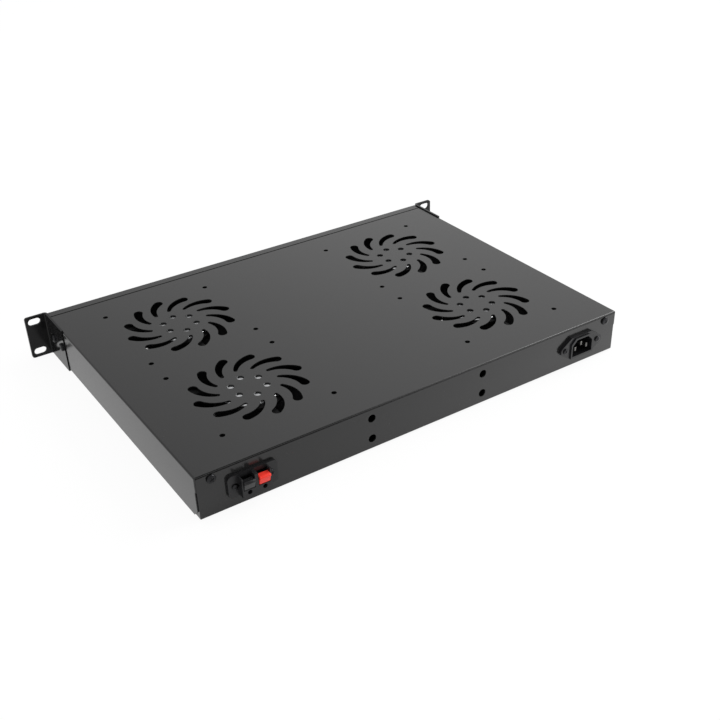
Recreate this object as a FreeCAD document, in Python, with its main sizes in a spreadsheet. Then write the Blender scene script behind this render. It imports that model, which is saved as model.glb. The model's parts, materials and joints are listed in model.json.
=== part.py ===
"""Rack fan tray: a one-unit 19 inch sheet-metal tray with four 120 mm axial fans.

Millimetres. The origin is the centre of the rack-ear slot pattern, on the plane where the ears
meet the rack rails. The front faces -Y, the rear +Y, and +Z is up. Left and right are as seen
from the front, so left is -X.
"""
import FreeCAD, Part
import math
import os
import re
import Sketcher
from FreeCAD import Placement, Rotation, Vector

SIZES = {
    # tray: the folded chassis and its cover
    "body_width": 440.8, "body_depth": 321.6, "body_height": 41.1, "body_base": -20.5,
    "sheet_gauge": 1.0, "cover_gauge": 1.0, "fold_radius": 1.5, "rear_edge": 0.8, "cover_play": 0.15,
    "front_lip": 9.75, "front_seam": 1.5, "rear_lip": 8.0, "tongue_reach": 5.0, "tongue_inset": 28.0,
    "skirt_start": 46.0, "skirt_cutback": 1.5, "skirt_flush": 14.0, "skirt_chamfer": 6.5, "skirt_lift": 1.4,
    "tab_width": 24.0, "tab_play": 0.1, "tab_clear": 0.3, "tongue_play": 0.05, "cutout_play": 0.2,
    "thread_play": 0.05,
    # rack ears
    "ear_span": 482.6, "ear_gauge": 2.0, "ear_height": 43.6, "ear_side": 44.0, "ear_corner": 2.5,
    "ear_fold": 1.2, "rack_pitch_x": 465.1, "rack_pitch_z": 31.75, "ear_slot_length": 12.0,
    "ear_slot_width": 7.0, "ear_screw_front": 16.0, "ear_screw_back": 37.0, "ear_screw_height": 1.6,
    # fans and the grilles over and under them
    "fan_size": 119.0, "fan_depth": 38.0, "fan_corner": 4.5, "fan_offset_x": 124.0, "fan_front_y": 93.9,
    "fan_pitch_y": 135.5, "fan_hole_inset": 7.0, "fan_hole": 4.4, "cover_hole": 4.8,
    "base_hole": 4.2,
    "slot_count": 12, "slot_inner_reach": 28.3, "slot_inner_angle": 4.3, "slot_inner_cap": 1.8,
    "slot_outer_reach": 47.6, "slot_outer_angle": 29.8, "slot_outer_cap": 4.3,
    "slot_lead_radius": 23.0, "slot_trail_radius": 27.0,
    "hub_hole_count": 6, "hub_hole_reach": 15.5, "hub_hole": 6.5,
    "fan_rim": 2.0, "fan_flange": 5.0, "barrel_gauge": 1.3,
    "strut_count": 3, "strut_width": 6.0, "strut_depth": 4.0, "strut_bite": 0.6,
    "motor_plate": 66.0, "motor_drop": 1.0, "motor_plate_depth": 2.5, "motor_recess": 0.5,
    "stator_size": 46.0,
    "stator_top": 7.0, "stator_depth": 14.0, "tube_size": 13.0, "tube_depth": 24.0,
    "bush_size": 9.0, "bush_length": 6.0, "shaft_size": 4.0, "shaft_play": 0.04,
    "rotor_base": 3.5, "rotor_top": 32.6, "hub_size": 64.0, "hub_wall": 2.2, "hub_floor": 3.0,
    "shoulder_size": 9.0, "shoulder_depth": 2.0, "shaft_headroom": 1.0,
    "blade_count": 5, "blade_tip_play": 1.4, "blade_gauge": 1.6,
    "root_bite": 0.1, "root_half_chord": 11.0, "root_low": 6.5, "root_high": 30.5, "root_bow": 26.0,
    "tip_half_chord": 21.0, "tip_low": 9.5, "tip_high": 27.5, "tip_bow": 60.0,
    "label_size": 56.0, "label_gauge": 0.4,
    # screws: head and shank diameters
    "fan_head": 7.4, "fan_head_depth": 1.5, "fan_shank": 3.8, "fan_shank_length": 5.6,
    "case_head": 8.0, "case_head_depth": 2.4, "case_shank": 3.9, "case_shank_length": 7.0,
    "case_hole": 4.3, "nut_size": 7.0, "nut_depth": 2.2,
    "small_head": 5.6, "small_head_depth": 1.6, "small_shank": 2.9, "small_shank_length": 7.0,
    "small_hole": 3.3, "small_nut_size": 5.5, "small_nut_depth": 1.8, "cross_width": 1.0,
    "cross_share": 0.28, "cross_depth": 0.9, "head_shoulder": 0.5,
    "rear_screw_x": 206.5, "rear_screw_drop": 6.0,
    "panel_hole_pitch_x": 118.0, "panel_hole_pitch_z": 20.0, "panel_hole": 7.5,
    # mains inlet on the rear wall
    "inlet_x": -175.5, "inlet_flange_depth": 3.0, "inlet_rim_depth": 4.5, "inlet_half_height": 11.4,
    "inlet_half_top": 12.6, "inlet_screw_pitch": 40.0, "inlet_lobe": 5.2, "inlet_lobe_radius": 4.16,
    "inlet_shell_width": 27.4,
    "inlet_shell_height": 20.0, "inlet_cavity_width": 24.2, "inlet_cavity_height": 16.6,
    "inlet_cavity_chamfer": 5.2, "inlet_cavity_depth": 16.5, "inlet_shell_depth": 15.5,
    "pin_width": 4.0, "pin_gauge": 2.0, "pin_spread": 7.0, "pin_drop": 2.0, "pin_recess": 1.5,
    "pin_tail": 8.0, "pin_play": 0.05,
    # spring terminal on the rear wall
    "clamp_x": 172.7, "clamp_plate_width": 44.0, "clamp_plate_height": 21.0, "clamp_plate_depth": 2.6,
    "clamp_corner": 4.0, "clamp_screw_pitch": 32.0, "clamp_block_width": 26.0,
    "clamp_block_height": 18.4, "clamp_block_depth": 6.4, "clamp_back_width": 24.0,
    "clamp_back_height": 17.0, "clamp_back_depth": 11.0, "clamp_pitch": 13.4,
    "clamp_pocket_width": 10.4, "clamp_pocket_drop": 2.6, "clamp_well_height": 9.4,
    "clamp_well_depth": 3.0,
    "clamp_wire_hole": 4.0, "clamp_wire_drop": 5.3, "clamp_wire_depth": 15.0, "lever_play": 0.35,
    "lever_pin": 2.0, "lever_pin_play": 0.05, "lever_pin_y": 5.2, "lever_pin_z": 0.8,
    "lever_pin_bite": 1.0, "lever_back": 0.8, "lever_proud": 2.6, "lever_toe": 0.2, "lever_lip": 1.4,
    "lever_slope": 2.0, "lever_lift": 0.4, "lever_lower": 2.2, "contact_gauge": 0.6,
    "contact_width": 4.0, "contact_tail": 7.0,
    # thermostat and switch on the front panel
    "gauge_x": 0.0, "gauge_width": 77.0, "gauge_height": 34.6, "gauge_rim": 3.0, "gauge_corner": 3.0,
    "gauge_case_width": 70.6, "gauge_case_height": 28.6, "gauge_case_depth": 55.0,
    "window_width": 40.0, "window_height": 19.0, "window_shift": -12.0,
    "window_depth": 1.6, "window_play": 0.1, "window_sink": 0.2,
    "key_width": 8.4, "key_height": 6.0, "key_pitch_x": 11.0, "key_pitch_z": 9.4,
    "key_shift": 22.5, "key_play": 0.3, "key_proud": 0.9, "key_travel": 0.6, "key_pocket": 2.6,
    "key_corner": 0.8,
    "gauge_clip_length": 16.0, "gauge_clip_gauge": 2.0, "gauge_clip_height": 8.0,
    "switch_x": -96.0, "switch_width": 30.0, "switch_height": 22.0, "switch_rim": 2.0,
    "switch_corner": 1.5, "switch_case_width": 26.6, "switch_case_height": 18.6,
    "switch_case_depth": 16.0, "switch_pocket_width": 23.0, "switch_pocket_height": 14.0,
    "switch_pocket_depth": 9.0, "rocker_play": 0.4, "rocker_pin": 2.0, "rocker_pin_play": 0.05,
    "rocker_pin_inset": 3.4, "rocker_pin_bite": 1.0, "rocker_tilt": 8.0, "rocker_proud": 3.0,
    "rocker_end_play": 0.6, "rocker_valley": 1.4, "rocker_foot": 0.6, "switch_tab_pitch": 12.0,
    "blade_tab_width": 4.8, "blade_tab_gauge": 0.8, "blade_tab_length": 8.0,
}

doc = FreeCAD.newDocument("RackFanTray")
sheet = doc.addObject("Spreadsheet::Sheet", "Sizes")
for row, (alias, size) in enumerate(SIZES.items(), 1):
    sheet.set(f"A{row}", alias.replace("_", " "))
    sheet.set(f"B{row}", str(size))
    sheet.setAlias(f"B{row}", alias)
doc.recompute()

ALIAS = re.compile(r"\b[a-z]+(?:_[a-z]+)+\b")
SUBPARTS = []


def full(formula):
    """The formula with each sheet alias written as another object's expression needs it."""
    return ALIAS.sub(lambda found: "Sizes." + found.group(), str(formula))


def number(formula):
    """What the formula comes to with the sheet's present values."""
    return float(sheet.evalExpression(str(formula)))


def subpart(thing, label):
    """Give the object the name of its file and list it among the pieces to write."""
    thing.Label = label
    SUBPARTS.append(thing)
    return thing


class Draft:
    """A sketch on one of a body's origin planes, with every size tied to the sheet."""

    def __init__(self, body, name, plane, offset="0"):
        self.sketch = body.newObject("Sketcher::SketchObject", name)
        support = next(f for f in body.Origin.OriginFeatures if f.Role == plane)
        self.sketch.AttachmentSupport = [(support, "")]
        self.sketch.MapMode = "FlatFace"
        self.sketch.setExpression("AttachmentOffset.Base.z", full(offset))

    def tie(self, kind, refs, formula):
        index = self.sketch.addConstraint(Sketcher.Constraint(kind, *refs, number(formula)))
        self.sketch.setExpression(f"Constraints[{index}]", full(formula))

    def at(self, geometry, point, x, y):
        self.tie("DistanceX", (-1, 1, geometry, point), x)
        self.tie("DistanceY", (-1, 1, geometry, point), y)

    def circle(self, x, y, size):
        centre = Vector(number(x), number(y), 0)
        ring = self.sketch.addGeometry(Part.Circle(centre, Vector(0, 0, 1), number(size) / 2))
        self.tie("Radius", (ring,), f"({size}) / 2")
        self.at(ring, 3, x, y)
        return self

    def outline(self, corners):
        """A closed run of straight sides through the corners."""
        spots = [Vector(number(x), number(y), 0) for x, y in corners]
        sides = [self.sketch.addGeometry(Part.LineSegment(a, b))
                 for a, b in zip(spots, spots[1:] + spots[:1])]
        for side, following in zip(sides, sides[1:] + sides[:1]):
            self.sketch.addConstraint(Sketcher.Constraint("Coincident", side, 2, following, 1))
        for side, (x, y) in zip(sides, corners):
            self.at(side, 1, x, y)
        return self

    def obround(self, x, y, length, width):
        """A level slot with round ends, about its centre."""
        half = f"(({length}) - ({width})) / 2"
        radius = number(width) / 2
        left = Vector(number(x) - number(half), number(y), 0)
        right = Vector(number(x) + number(half), number(y), 0)
        rise = Vector(0, radius, 0)
        quarter = math.pi / 2
        axis = Vector(0, 0, 1)
        east = self.sketch.addGeometry(Part.ArcOfCircle(Part.Circle(right, axis, radius), -quarter, quarter))
        top = self.sketch.addGeometry(Part.LineSegment(right + rise, left + rise))
        west = self.sketch.addGeometry(
            Part.ArcOfCircle(Part.Circle(left, axis, radius), quarter, 3 * quarter))
        low = self.sketch.addGeometry(Part.LineSegment(left - rise, right - rise))
        ring = [east, top, west, low]
        for one, other in zip(ring, ring[1:] + ring[:1]):
            self.sketch.addConstraint(Sketcher.Constraint("Tangent", one, 2, other, 1))
        for end, spot in ((east, f"({x}) + {half}"), (west, f"({x}) - {half}")):
            self.tie("Radius", (end,), f"({width}) / 2")
            self.at(end, 3, spot, y)
        return self

    def block(self, x, y, width, height):
        """A rectangle about its centre."""
        low_x, high_x = f"({x}) - ({width}) / 2", f"({x}) + ({width}) / 2"
        low_y, high_y = f"({y}) - ({height}) / 2", f"({y}) + ({height}) / 2"
        return self.outline([(low_x, low_y), (high_x, low_y), (high_x, high_y), (low_x, high_y)])

    def arc(self, centre, radius, start, end, toward=None):
        """The arc from start to end that bulges toward the given way, and which end is which."""
        toward = toward or (start + end) * 0.5 - centre
        first, last, aim = (math.atan2(v.y, v.x) for v in (start - centre, end - centre, toward))
        sweep = (last - first) % (2 * math.pi)
        circle = Part.Circle(centre, Vector(0, 0, 1), radius)
        if math.cos(first + sweep / 2 - aim) > 0:
            return self.sketch.addGeometry(Part.ArcOfCircle(circle, first, first + sweep)), 1, 2
        back = 2 * math.pi - sweep
        return self.sketch.addGeometry(Part.ArcOfCircle(circle, last, last + back)), 2, 1


def body(name, label=None):
    made = doc.addObject("PartDesign::Body", name)
    return subpart(made, label) if label else made


def pad(owner, name, draft, length, back=False, both=False):
    made = owner.newObject("PartDesign::Pad", name)
    made.Profile = draft.sketch
    made.setExpression("Length", full(length))
    made.Reversed = back
    made.Midplane = both
    doc.recompute()
    return made


def pocket(owner, name, draft, length, back=False, both=False):
    """Cut the drafted outline away, and make sure that it did cut."""
    before = owner.Shape.Volume
    made = owner.newObject("PartDesign::Pocket", name)
    made.Profile = draft.sketch
    made.setExpression("Length", full(length))
    made.Reversed = back
    made.Midplane = both
    doc.recompute()
    if before - owner.Shape.Volume < 0.1:
        raise RuntimeError(f"{name} cut nothing")
    return made


def spin(owner, name, draft, kind="Revolution"):
    """Turn the drafted half-section about the vertical axis, to add or to cut."""
    made = owner.newObject("PartDesign::" + kind, name)
    made.Profile = draft.sketch
    made.ReferenceAxis = (draft.sketch, ["V_Axis"])
    made.Angle = 360
    doc.recompute()
    return made


def pattern(owner, name, original, steps):
    """Repeat a feature by turns about its sketch's own normal and by rows along X and Y."""
    multi = owner.newObject("PartDesign::MultiTransform", name)
    multi.Originals = [original]
    moves = []
    for index, step in enumerate(steps):
        turning = step[0] == "turn"
        kind = "PartDesign::PolarPattern" if turning else "PartDesign::LinearPattern"
        move = doc.addObject(kind, f"{name}Move{index}")
        owner.addObject(move)
        if turning:
            move.Axis = (original.Profile[0], ["N_Axis"])
            move.Angle = 360
            move.setExpression("Occurrences", full(step[1]))
        else:
            axis = {"X": "H_Axis", "Y": "V_Axis"}[step[1]]
            move.Direction = (original.Profile[0], [axis])
            move.setExpression("Length", full(step[2]))
            move.Occurrences = 2
        moves.append(move)
    multi.Transformations = moves
    owner.Tip = multi
    doc.recompute()
    return multi


def rounded(owner, name, kind, size, picks):
    """Fillet or chamfer the straight edges whose middle and direction the pick accepts."""
    base = owner.Tip
    names = []
    for index, edge in enumerate(base.Shape.Edges, 1):
        ends = edge.Vertexes
        straight = isinstance(edge.Curve, Part.Line)
        if straight and len(ends) == 2:
            run = ends[1].Point - ends[0].Point
            if picks(edge.CenterOfMass, run.normalize()):
                names.append(f"Edge{index}")
    if not names:
        raise RuntimeError(f"{name} found no edge")
    made = owner.newObject("PartDesign::" + kind, name)
    made.Base = (base, names)
    made.setExpression("Radius" if kind == "Fillet" else "Size", full(size))
    doc.recompute()
    return made


def near(value, formula):
    return abs(value - number(formula)) < 0.02


def placed(name, label, source, x="0", y="0", z="0", turn=0, axis=(0, 0, 1)):
    """One more piece like the source, moved to its own place."""
    made = doc.addObject("Part::Compound", name)
    made.Links = [source]
    made.Placement = Placement(Vector(), Rotation(Vector(*axis), turn))
    for letter, formula in zip("xyz", (x, y, z)):
        made.setExpression(f"Placement.Base.{letter}", full(formula))
    return subpart(made, label) if label else made


def group(name, label, pieces):
    """Separate solids of one kind, kept together as one piece of the parts list."""
    made = doc.addObject("Part::Compound", name)
    made.Links = pieces
    return subpart(made, label)


BASE = "body_base"
TOP = "(body_base + body_height)"
MIDDLE = "(body_base + body_height / 2)"
FRONT = "(-ear_gauge)"
REAR = "(body_depth - ear_gauge)"
LIP = "(front_lip - ear_gauge)"
SHELL = "(body_width - 2 * cover_gauge - 2 * cover_play)"
UNDER = "(body_base + body_height - cover_gauge - cover_play)"
DECK = "(body_base + sheet_gauge)"
FAN_HOLES = "(fan_size - 2 * fan_hole_inset)"
FAN_BORE = "(fan_size - 2 * fan_rim)"
FAN_NAMES = [("front_left", -1, 0), ("front_right", 1, 0), ("rear_left", -1, 1), ("rear_right", 1, 1)]


def fan_spot(side, row_index):
    return f"{side} * fan_offset_x", f"fan_front_y + {row_index} * fan_pitch_y"


# ---------------------------------------------------------------- grille openings
def polar(reach, angle):
    """A point at this reach from the fan's axis, its angle measured clockwise from the rear."""
    return f"({reach}) * sin(({angle}) * 1 deg)", f"({reach}) * cos(({angle}) * 1 deg)"


def comma_slot(draft, x, y):
    """One swirl slot: a small inner cap and a wide outer cap joined by two bowed sides."""
    inner = [f"({c}) + ({d})" for c, d in zip((x, y), polar("slot_inner_reach", "slot_inner_angle"))]
    outer = [f"({c}) + ({d})" for c, d in zip((x, y), polar("slot_outer_reach", "slot_outer_angle"))]
    small, wide = number("slot_inner_cap"), number("slot_outer_cap")
    low = Vector(number(inner[0]), number(inner[1]), 0)
    high = Vector(number(outer[0]), number(outer[1]), 0)

    def side_centre(from_low, from_high):
        """The centre that lies these distances from both caps, to the right of the slot."""
        run = high - low
        along = (from_low ** 2 - from_high ** 2 + run.Length ** 2) / (2 * run.Length)
        across = (from_low ** 2 - along ** 2) ** 0.5
        right = Vector(run.y, -run.x, 0).normalize()
        return low + run.normalize() * along + right * across

    trail, lead = number("slot_trail_radius"), number("slot_lead_radius")
    outside = side_centre(trail - small, trail - wide)
    inside = side_centre(lead + small, lead + wide)
    joints = [outside + (low - outside).normalize() * trail, outside + (high - outside).normalize() * trail,
              inside + (high - inside).normalize() * lead, inside + (low - inside).normalize() * lead]
    runs = [(outside, trail, None), (high, wide, high - low), (inside, lead, None), (low, small, low - high)]
    made = [draft.arc(centre, radius, start, end, toward)
            for (centre, radius, toward), start, end in zip(runs, joints, joints[1:] + joints[:1])]
    for (one, _, last), (other, first, _) in zip(made, made[1:] + made[:1]):
        draft.sketch.addConstraint(Sketcher.Constraint("Tangent", one, last, other, first))
    sizes = ["slot_trail_radius", "slot_outer_cap", "slot_lead_radius", "slot_inner_cap"]
    for (index, _, _), radius in zip(made, sizes):
        draft.tie("Radius", (index,), radius)
    draft.at(made[1][0], 3, *outer)
    draft.at(made[3][0], 3, *inner)
    return draft


def grille(owner, plane_height, depth, screw_hole, vented_hub):
    """Cut the swirl slots, the screw holes and any ring of hub holes at all four fans."""
    first_x, first_y = "-fan_offset_x", "fan_front_y"
    rows = [("row", "X", "2 * fan_offset_x"), ("row", "Y", "fan_pitch_y")]

    def moved(name):
        draft = Draft(owner, name, "XY_Plane", plane_height)
        draft.sketch.setExpression("AttachmentOffset.Base.x", full(first_x))
        draft.sketch.setExpression("AttachmentOffset.Base.y", full(first_y))
        return draft

    slot = pocket(owner, owner.Name + "Slot", comma_slot(moved(owner.Name + "SlotPlan"), "0", "0"), depth)
    pattern(owner, owner.Name + "Slots", slot, [("turn", "slot_count")] + rows)
    if vented_hub:
        hole = moved(owner.Name + "HubPlan").circle("0", "hub_hole_reach", "hub_hole")
        hub = pocket(owner, owner.Name + "HubHole", hole, depth)
        pattern(owner, owner.Name + "HubHoles", hub, [("turn", "hub_hole_count")] + rows)
    corner = f"{FAN_HOLES} / 2"
    screw = moved(owner.Name + "ScrewPlan").circle(corner, corner, screw_hole)
    fixing = pocket(owner, owner.Name + "ScrewHole", screw, depth)
    pattern(owner, owner.Name + "ScrewHoles", fixing, [("turn", "4")] + rows)


# ---------------------------------------------------------------- chassis
def chassis_tray():
    """Bottom, front, rear and side walls folded from one sheet, with a lip over the front."""
    tray = body("ChassisTray", "chassis_tray")
    block = Draft(tray, "TrayPlan", "XY_Plane", BASE).block(
        "0", "body_depth / 2 - ear_gauge", SHELL, "body_depth")
    pad(tray, "TrayBlock", block, "body_height")
    step = f"({TOP}) - ({UNDER})"
    rest = "body_depth - front_lip"
    lowered = Draft(tray, "SeatPlan", "XY_Plane", TOP).block("0", f"{LIP} + ({rest}) / 2", SHELL, rest)
    pocket(tray, "CoverSeat", lowered, step)

    def folded(spot, run):
        across = abs(run.x) > 0.9 and (near(spot.z, TOP) or near(spot.z, UNDER)) and (
            near(spot.y, FRONT) or near(spot.y, REAR))
        return across or near(spot.z, BASE)

    rounded(tray, "TrayFolds", "Fillet", "fold_radius", folded)
    inner_front, inner_rear = f"{FRONT} + sheet_gauge", f"{REAR} - sheet_gauge"
    hollow = Draft(tray, "HollowSide", "YZ_Plane").outline([
        (inner_front, DECK), (inner_rear, DECK), (inner_rear, f"{UNDER} - sheet_gauge"),
        (LIP, f"{UNDER} - sheet_gauge"), (LIP, f"{TOP} - sheet_gauge"),
        (inner_front, f"{TOP} - sheet_gauge")])
    pocket(tray, "Hollow", hollow, f"{SHELL} - 2 * sheet_gauge", both=True)
    gap = "body_depth - front_lip - rear_lip"
    mouth = Draft(tray, "MouthPlan", "XY_Plane", UNDER).block(
        "0", f"{LIP} + ({gap}) / 2", f"{SHELL} - 2 * sheet_gauge", gap)
    pocket(tray, "Mouth", mouth, "sheet_gauge")
    notch_y = f"{inner_rear} - tab_play - cover_gauge - tab_clear"
    notch_z = f"{TOP} - skirt_flush - tab_clear"
    notch = Draft(tray, "TabNotchSide", "YZ_Plane").outline([
        (notch_y, notch_z), (inner_rear, notch_z), (inner_rear, f"{UNDER} - sheet_gauge"),
        (notch_y, f"{UNDER} - sheet_gauge")])
    pocket(tray, "TabNotches", notch, "body_width", both=True)
    grille(tray, DECK, "sheet_gauge", "base_hole", False)
    rear = Draft(tray, "RearPlan", "XZ_Plane", f"-({REAR})")
    for middle, kind in (("inlet_x", "inlet_shell"), ("clamp_x", "clamp_back")):
        rear.block(middle, MIDDLE, f"{kind}_width + 2 * cutout_play", f"{kind}_height + 2 * cutout_play")
    for side in (-1, 1):
        rear.circle(f"{side} * rear_screw_x", f"{TOP} - rear_screw_drop", "case_hole")
        rear.circle(f"inlet_x + {side} * inlet_screw_pitch / 2", MIDDLE, "small_hole")
        rear.circle(f"clamp_x + {side} * clamp_screw_pitch / 2", MIDDLE, "small_hole")
        for level in (-1, 1):
            rear.circle(f"{side} * panel_hole_pitch_x / 2",
                        f"{MIDDLE} + {level} * panel_hole_pitch_z / 2", "panel_hole")
    pocket(tray, "RearOpenings", rear, "sheet_gauge", back=True)
    front = Draft(tray, "FrontPlan", "XZ_Plane", "ear_gauge")
    for kind in ("gauge", "switch"):
        front.block(f"{kind}_x", MIDDLE, f"{kind}_case_width + 2 * cutout_play",
                    f"{kind}_case_height + 2 * cutout_play")
    pocket(tray, "FrontOpenings", front, "sheet_gauge")
    sides = Draft(tray, "SideHoles", "YZ_Plane")
    for spot in ("ear_screw_front", "ear_screw_back"):
        sides.circle(spot, "ear_screw_height", "case_hole")
    pocket(tray, "BracketHoles", sides, "body_width", both=True)
    return tray


# ---------------------------------------------------------------- cover
def top_cover():
    """Top plate with full-height side skirts, rear tabs and a tongue under the front lip."""
    cover = body("TopCover", "top_cover")
    half, inner = "body_width / 2", "body_width / 2 - cover_gauge"
    ceiling = f"{TOP} - cover_gauge"
    start, low = f"{LIP} + front_seam", f"({BASE} + skirt_lift)"
    section = Draft(cover, "CoverSection", "XZ_Plane", f"-({start})").outline([
        (f"-{half}", low), (f"-({inner})", low), (f"-({inner})", ceiling), (inner, ceiling),
        (inner, low), (half, low), (half, TOP), (f"-{half}", TOP)])
    pad(cover, "CoverFold", section, f"{REAR} - ({start})", back=True)
    rounded(cover, "OuterFolds", "Fillet", "fold_radius",
            lambda spot, run: abs(run.y) > 0.9 and near(spot.z, TOP))
    rounded(cover, "InnerFolds", "Fillet", "fold_radius - cover_gauge",
            lambda spot, run: abs(run.y) > 0.9 and near(spot.z, ceiling))
    relief = Draft(cover, "ReliefPlan", "XY_Plane", TOP)
    for side in (-1, 1):
        relief.block(f"{side} * (body_width + {SHELL}) / 4", "skirt_start / 2",
                     f"(body_width - {SHELL}) / 2", "skirt_start")
    pocket(cover, "BracketRelief", relief, "body_height")
    back = f"{REAR} - skirt_cutback"
    trimmed = Draft(cover, "SkirtEnd", "YZ_Plane").outline([
        (REAR, BASE), (REAR, f"{TOP} - skirt_flush"), (back, f"{TOP} - skirt_flush"),
        (back, f"{low} + skirt_chamfer"), (f"{back} - skirt_chamfer", low),
        (f"{back} - skirt_chamfer", BASE)])
    pocket(cover, "SkirtEnds", trimmed, "body_width", both=True)
    rounded(cover, "RearEdge", "Fillet", "rear_edge",
            lambda spot, run: abs(run.x) > 0.9 and near(spot.z, TOP) and near(spot.y, REAR))
    tab_back = f"{REAR} - sheet_gauge - tab_play"
    tab_low, tab_high = f"({TOP} - skirt_flush)", f"({UNDER} - sheet_gauge - tab_play)"
    tabs = Draft(cover, "TabPlan", "XZ_Plane", f"-({tab_back})")
    for side in (-1, 1):
        tabs.block(f"{side} * ({inner} + cover_gauge / 2 - tab_width / 2)", f"({tab_low} + {tab_high}) / 2",
                   "tab_width + cover_gauge", f"{tab_high} - {tab_low}")
    pad(cover, "RearTabs", tabs, "cover_gauge")
    threads = Draft(cover, "TabHolePlan", "XZ_Plane", f"-({tab_back} - cover_gauge)")
    for side in (-1, 1):
        threads.circle(f"{side} * rear_screw_x", f"{TOP} - rear_screw_drop", "case_shank + 2 * thread_play")
    pocket(cover, "TabHoles", threads, "cover_gauge")
    shelf = f"{TOP} - sheet_gauge - tongue_play"
    tongue = Draft(cover, "TongueSide", "YZ_Plane").outline([
        (f"{LIP} - tongue_reach", shelf), (f"{LIP} - tongue_reach", f"{shelf} - cover_gauge"),
        (f"{start} + tongue_reach", f"{shelf} - cover_gauge"),
        (f"{start} + tongue_reach", f"{TOP} - cover_gauge / 2"), (start, f"{TOP} - cover_gauge / 2"),
        (start, shelf)])
    pad(cover, "FrontTongue", tongue, f"{SHELL} - 2 * tongue_inset", both=True)
    grille(cover, TOP, "cover_gauge", "cover_hole", True)
    return cover


# ---------------------------------------------------------------- rack ears
def ear_bracket():
    """A folded ear: the slotted plate in front of the rail and a side flange on the chassis."""
    ear = body("LeftEar", "left_ear_bracket")
    flank, outer = f"-{SHELL} / 2", f"(-{SHELL} / 2 - ear_gauge)"
    plan = Draft(ear, "EarPlan", "XY_Plane", "-ear_height / 2").outline([
        ("-ear_span / 2", "-ear_gauge"), (flank, "-ear_gauge"), (flank, "ear_side"),
        (outer, "ear_side"), (outer, "0"), ("-ear_span / 2", "0")])
    pad(ear, "EarFold", plan, "ear_height")
    rounded(ear, "OuterBend", "Fillet", "ear_fold + ear_gauge", lambda spot, run: abs(run.z) > 0.9
            and near(spot.x, flank) and near(spot.y, "-ear_gauge"))
    rounded(ear, "InnerBend", "Fillet", "ear_fold",
            lambda spot, run: abs(run.z) > 0.9 and near(spot.x, outer) and near(spot.y, "0"))
    rounded(ear, "EarCorners", "Fillet", "ear_corner",
            lambda spot, run: abs(run.y) > 0.9 and near(spot.x, "-ear_span / 2"))
    slots = Draft(ear, "SlotPlan", "XZ_Plane", "ear_gauge")
    for level in (-1, 1):
        slots.obround("-rack_pitch_x / 2", f"{level} * rack_pitch_z / 2", "ear_slot_length",
                      "ear_slot_width")
    pocket(ear, "RackSlots", slots, "ear_gauge")
    holes = Draft(ear, "EarHolePlan", "YZ_Plane")
    for spot in ("ear_screw_front", "ear_screw_back"):
        holes.circle(spot, "ear_screw_height", "case_hole")
    pocket(ear, "EarHoles", holes, "body_width")
    mirror = doc.addObject("Part::Mirroring", "RightEar")
    mirror.Source = ear
    mirror.Normal = Vector(1, 0, 0)
    subpart(mirror, "right_ear_bracket")


# ---------------------------------------------------------------- screws and nuts
def pan_screw(name, head, depth, shank, length, crossed=True):
    """A pan-head screw standing on its shank, its seat at height zero."""
    screw = body(name)
    half, shoulder = f"{head} / 2", f"{depth} * head_shoulder"
    rim = [(half, shoulder), (f"{half} - {shoulder}", depth)] if crossed else [(half, depth)]
    outline = Draft(screw, name + "Half", "XZ_Plane").outline([
        ("0", f"-{length}"), (f"{shank} / 2", f"-{length}"), (f"{shank} / 2", "0"), (half, "0")]
        + rim + [("0", depth)])
    spin(screw, name + "Turned", outline)
    if crossed:
        recess = Draft(screw, name + "CrossPlan", "XY_Plane", depth)
        arm, half_bar = f"{head} * cross_share", "cross_width / 2"
        corners = [(arm, f"-{half_bar}"), (arm, half_bar), (half_bar, half_bar)]
        turned = []
        for _ in range(4):
            turned += corners
            corners = [(f"-({y})", x) for x, y in corners]
        pocket(screw, name + "Cross", recess.outline(turned), "cross_depth")
    return screw


def round_nut(name, bore, size, depth):
    nut = body(name)
    outline = Draft(nut, name + "Half", "XZ_Plane").outline([
        (f"{bore} / 2", "0"), (f"{size} / 2", "0"), (f"{size} / 2", depth), (f"{bore} / 2", depth)])
    spin(nut, name + "Turned", outline)
    return nut


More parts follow.
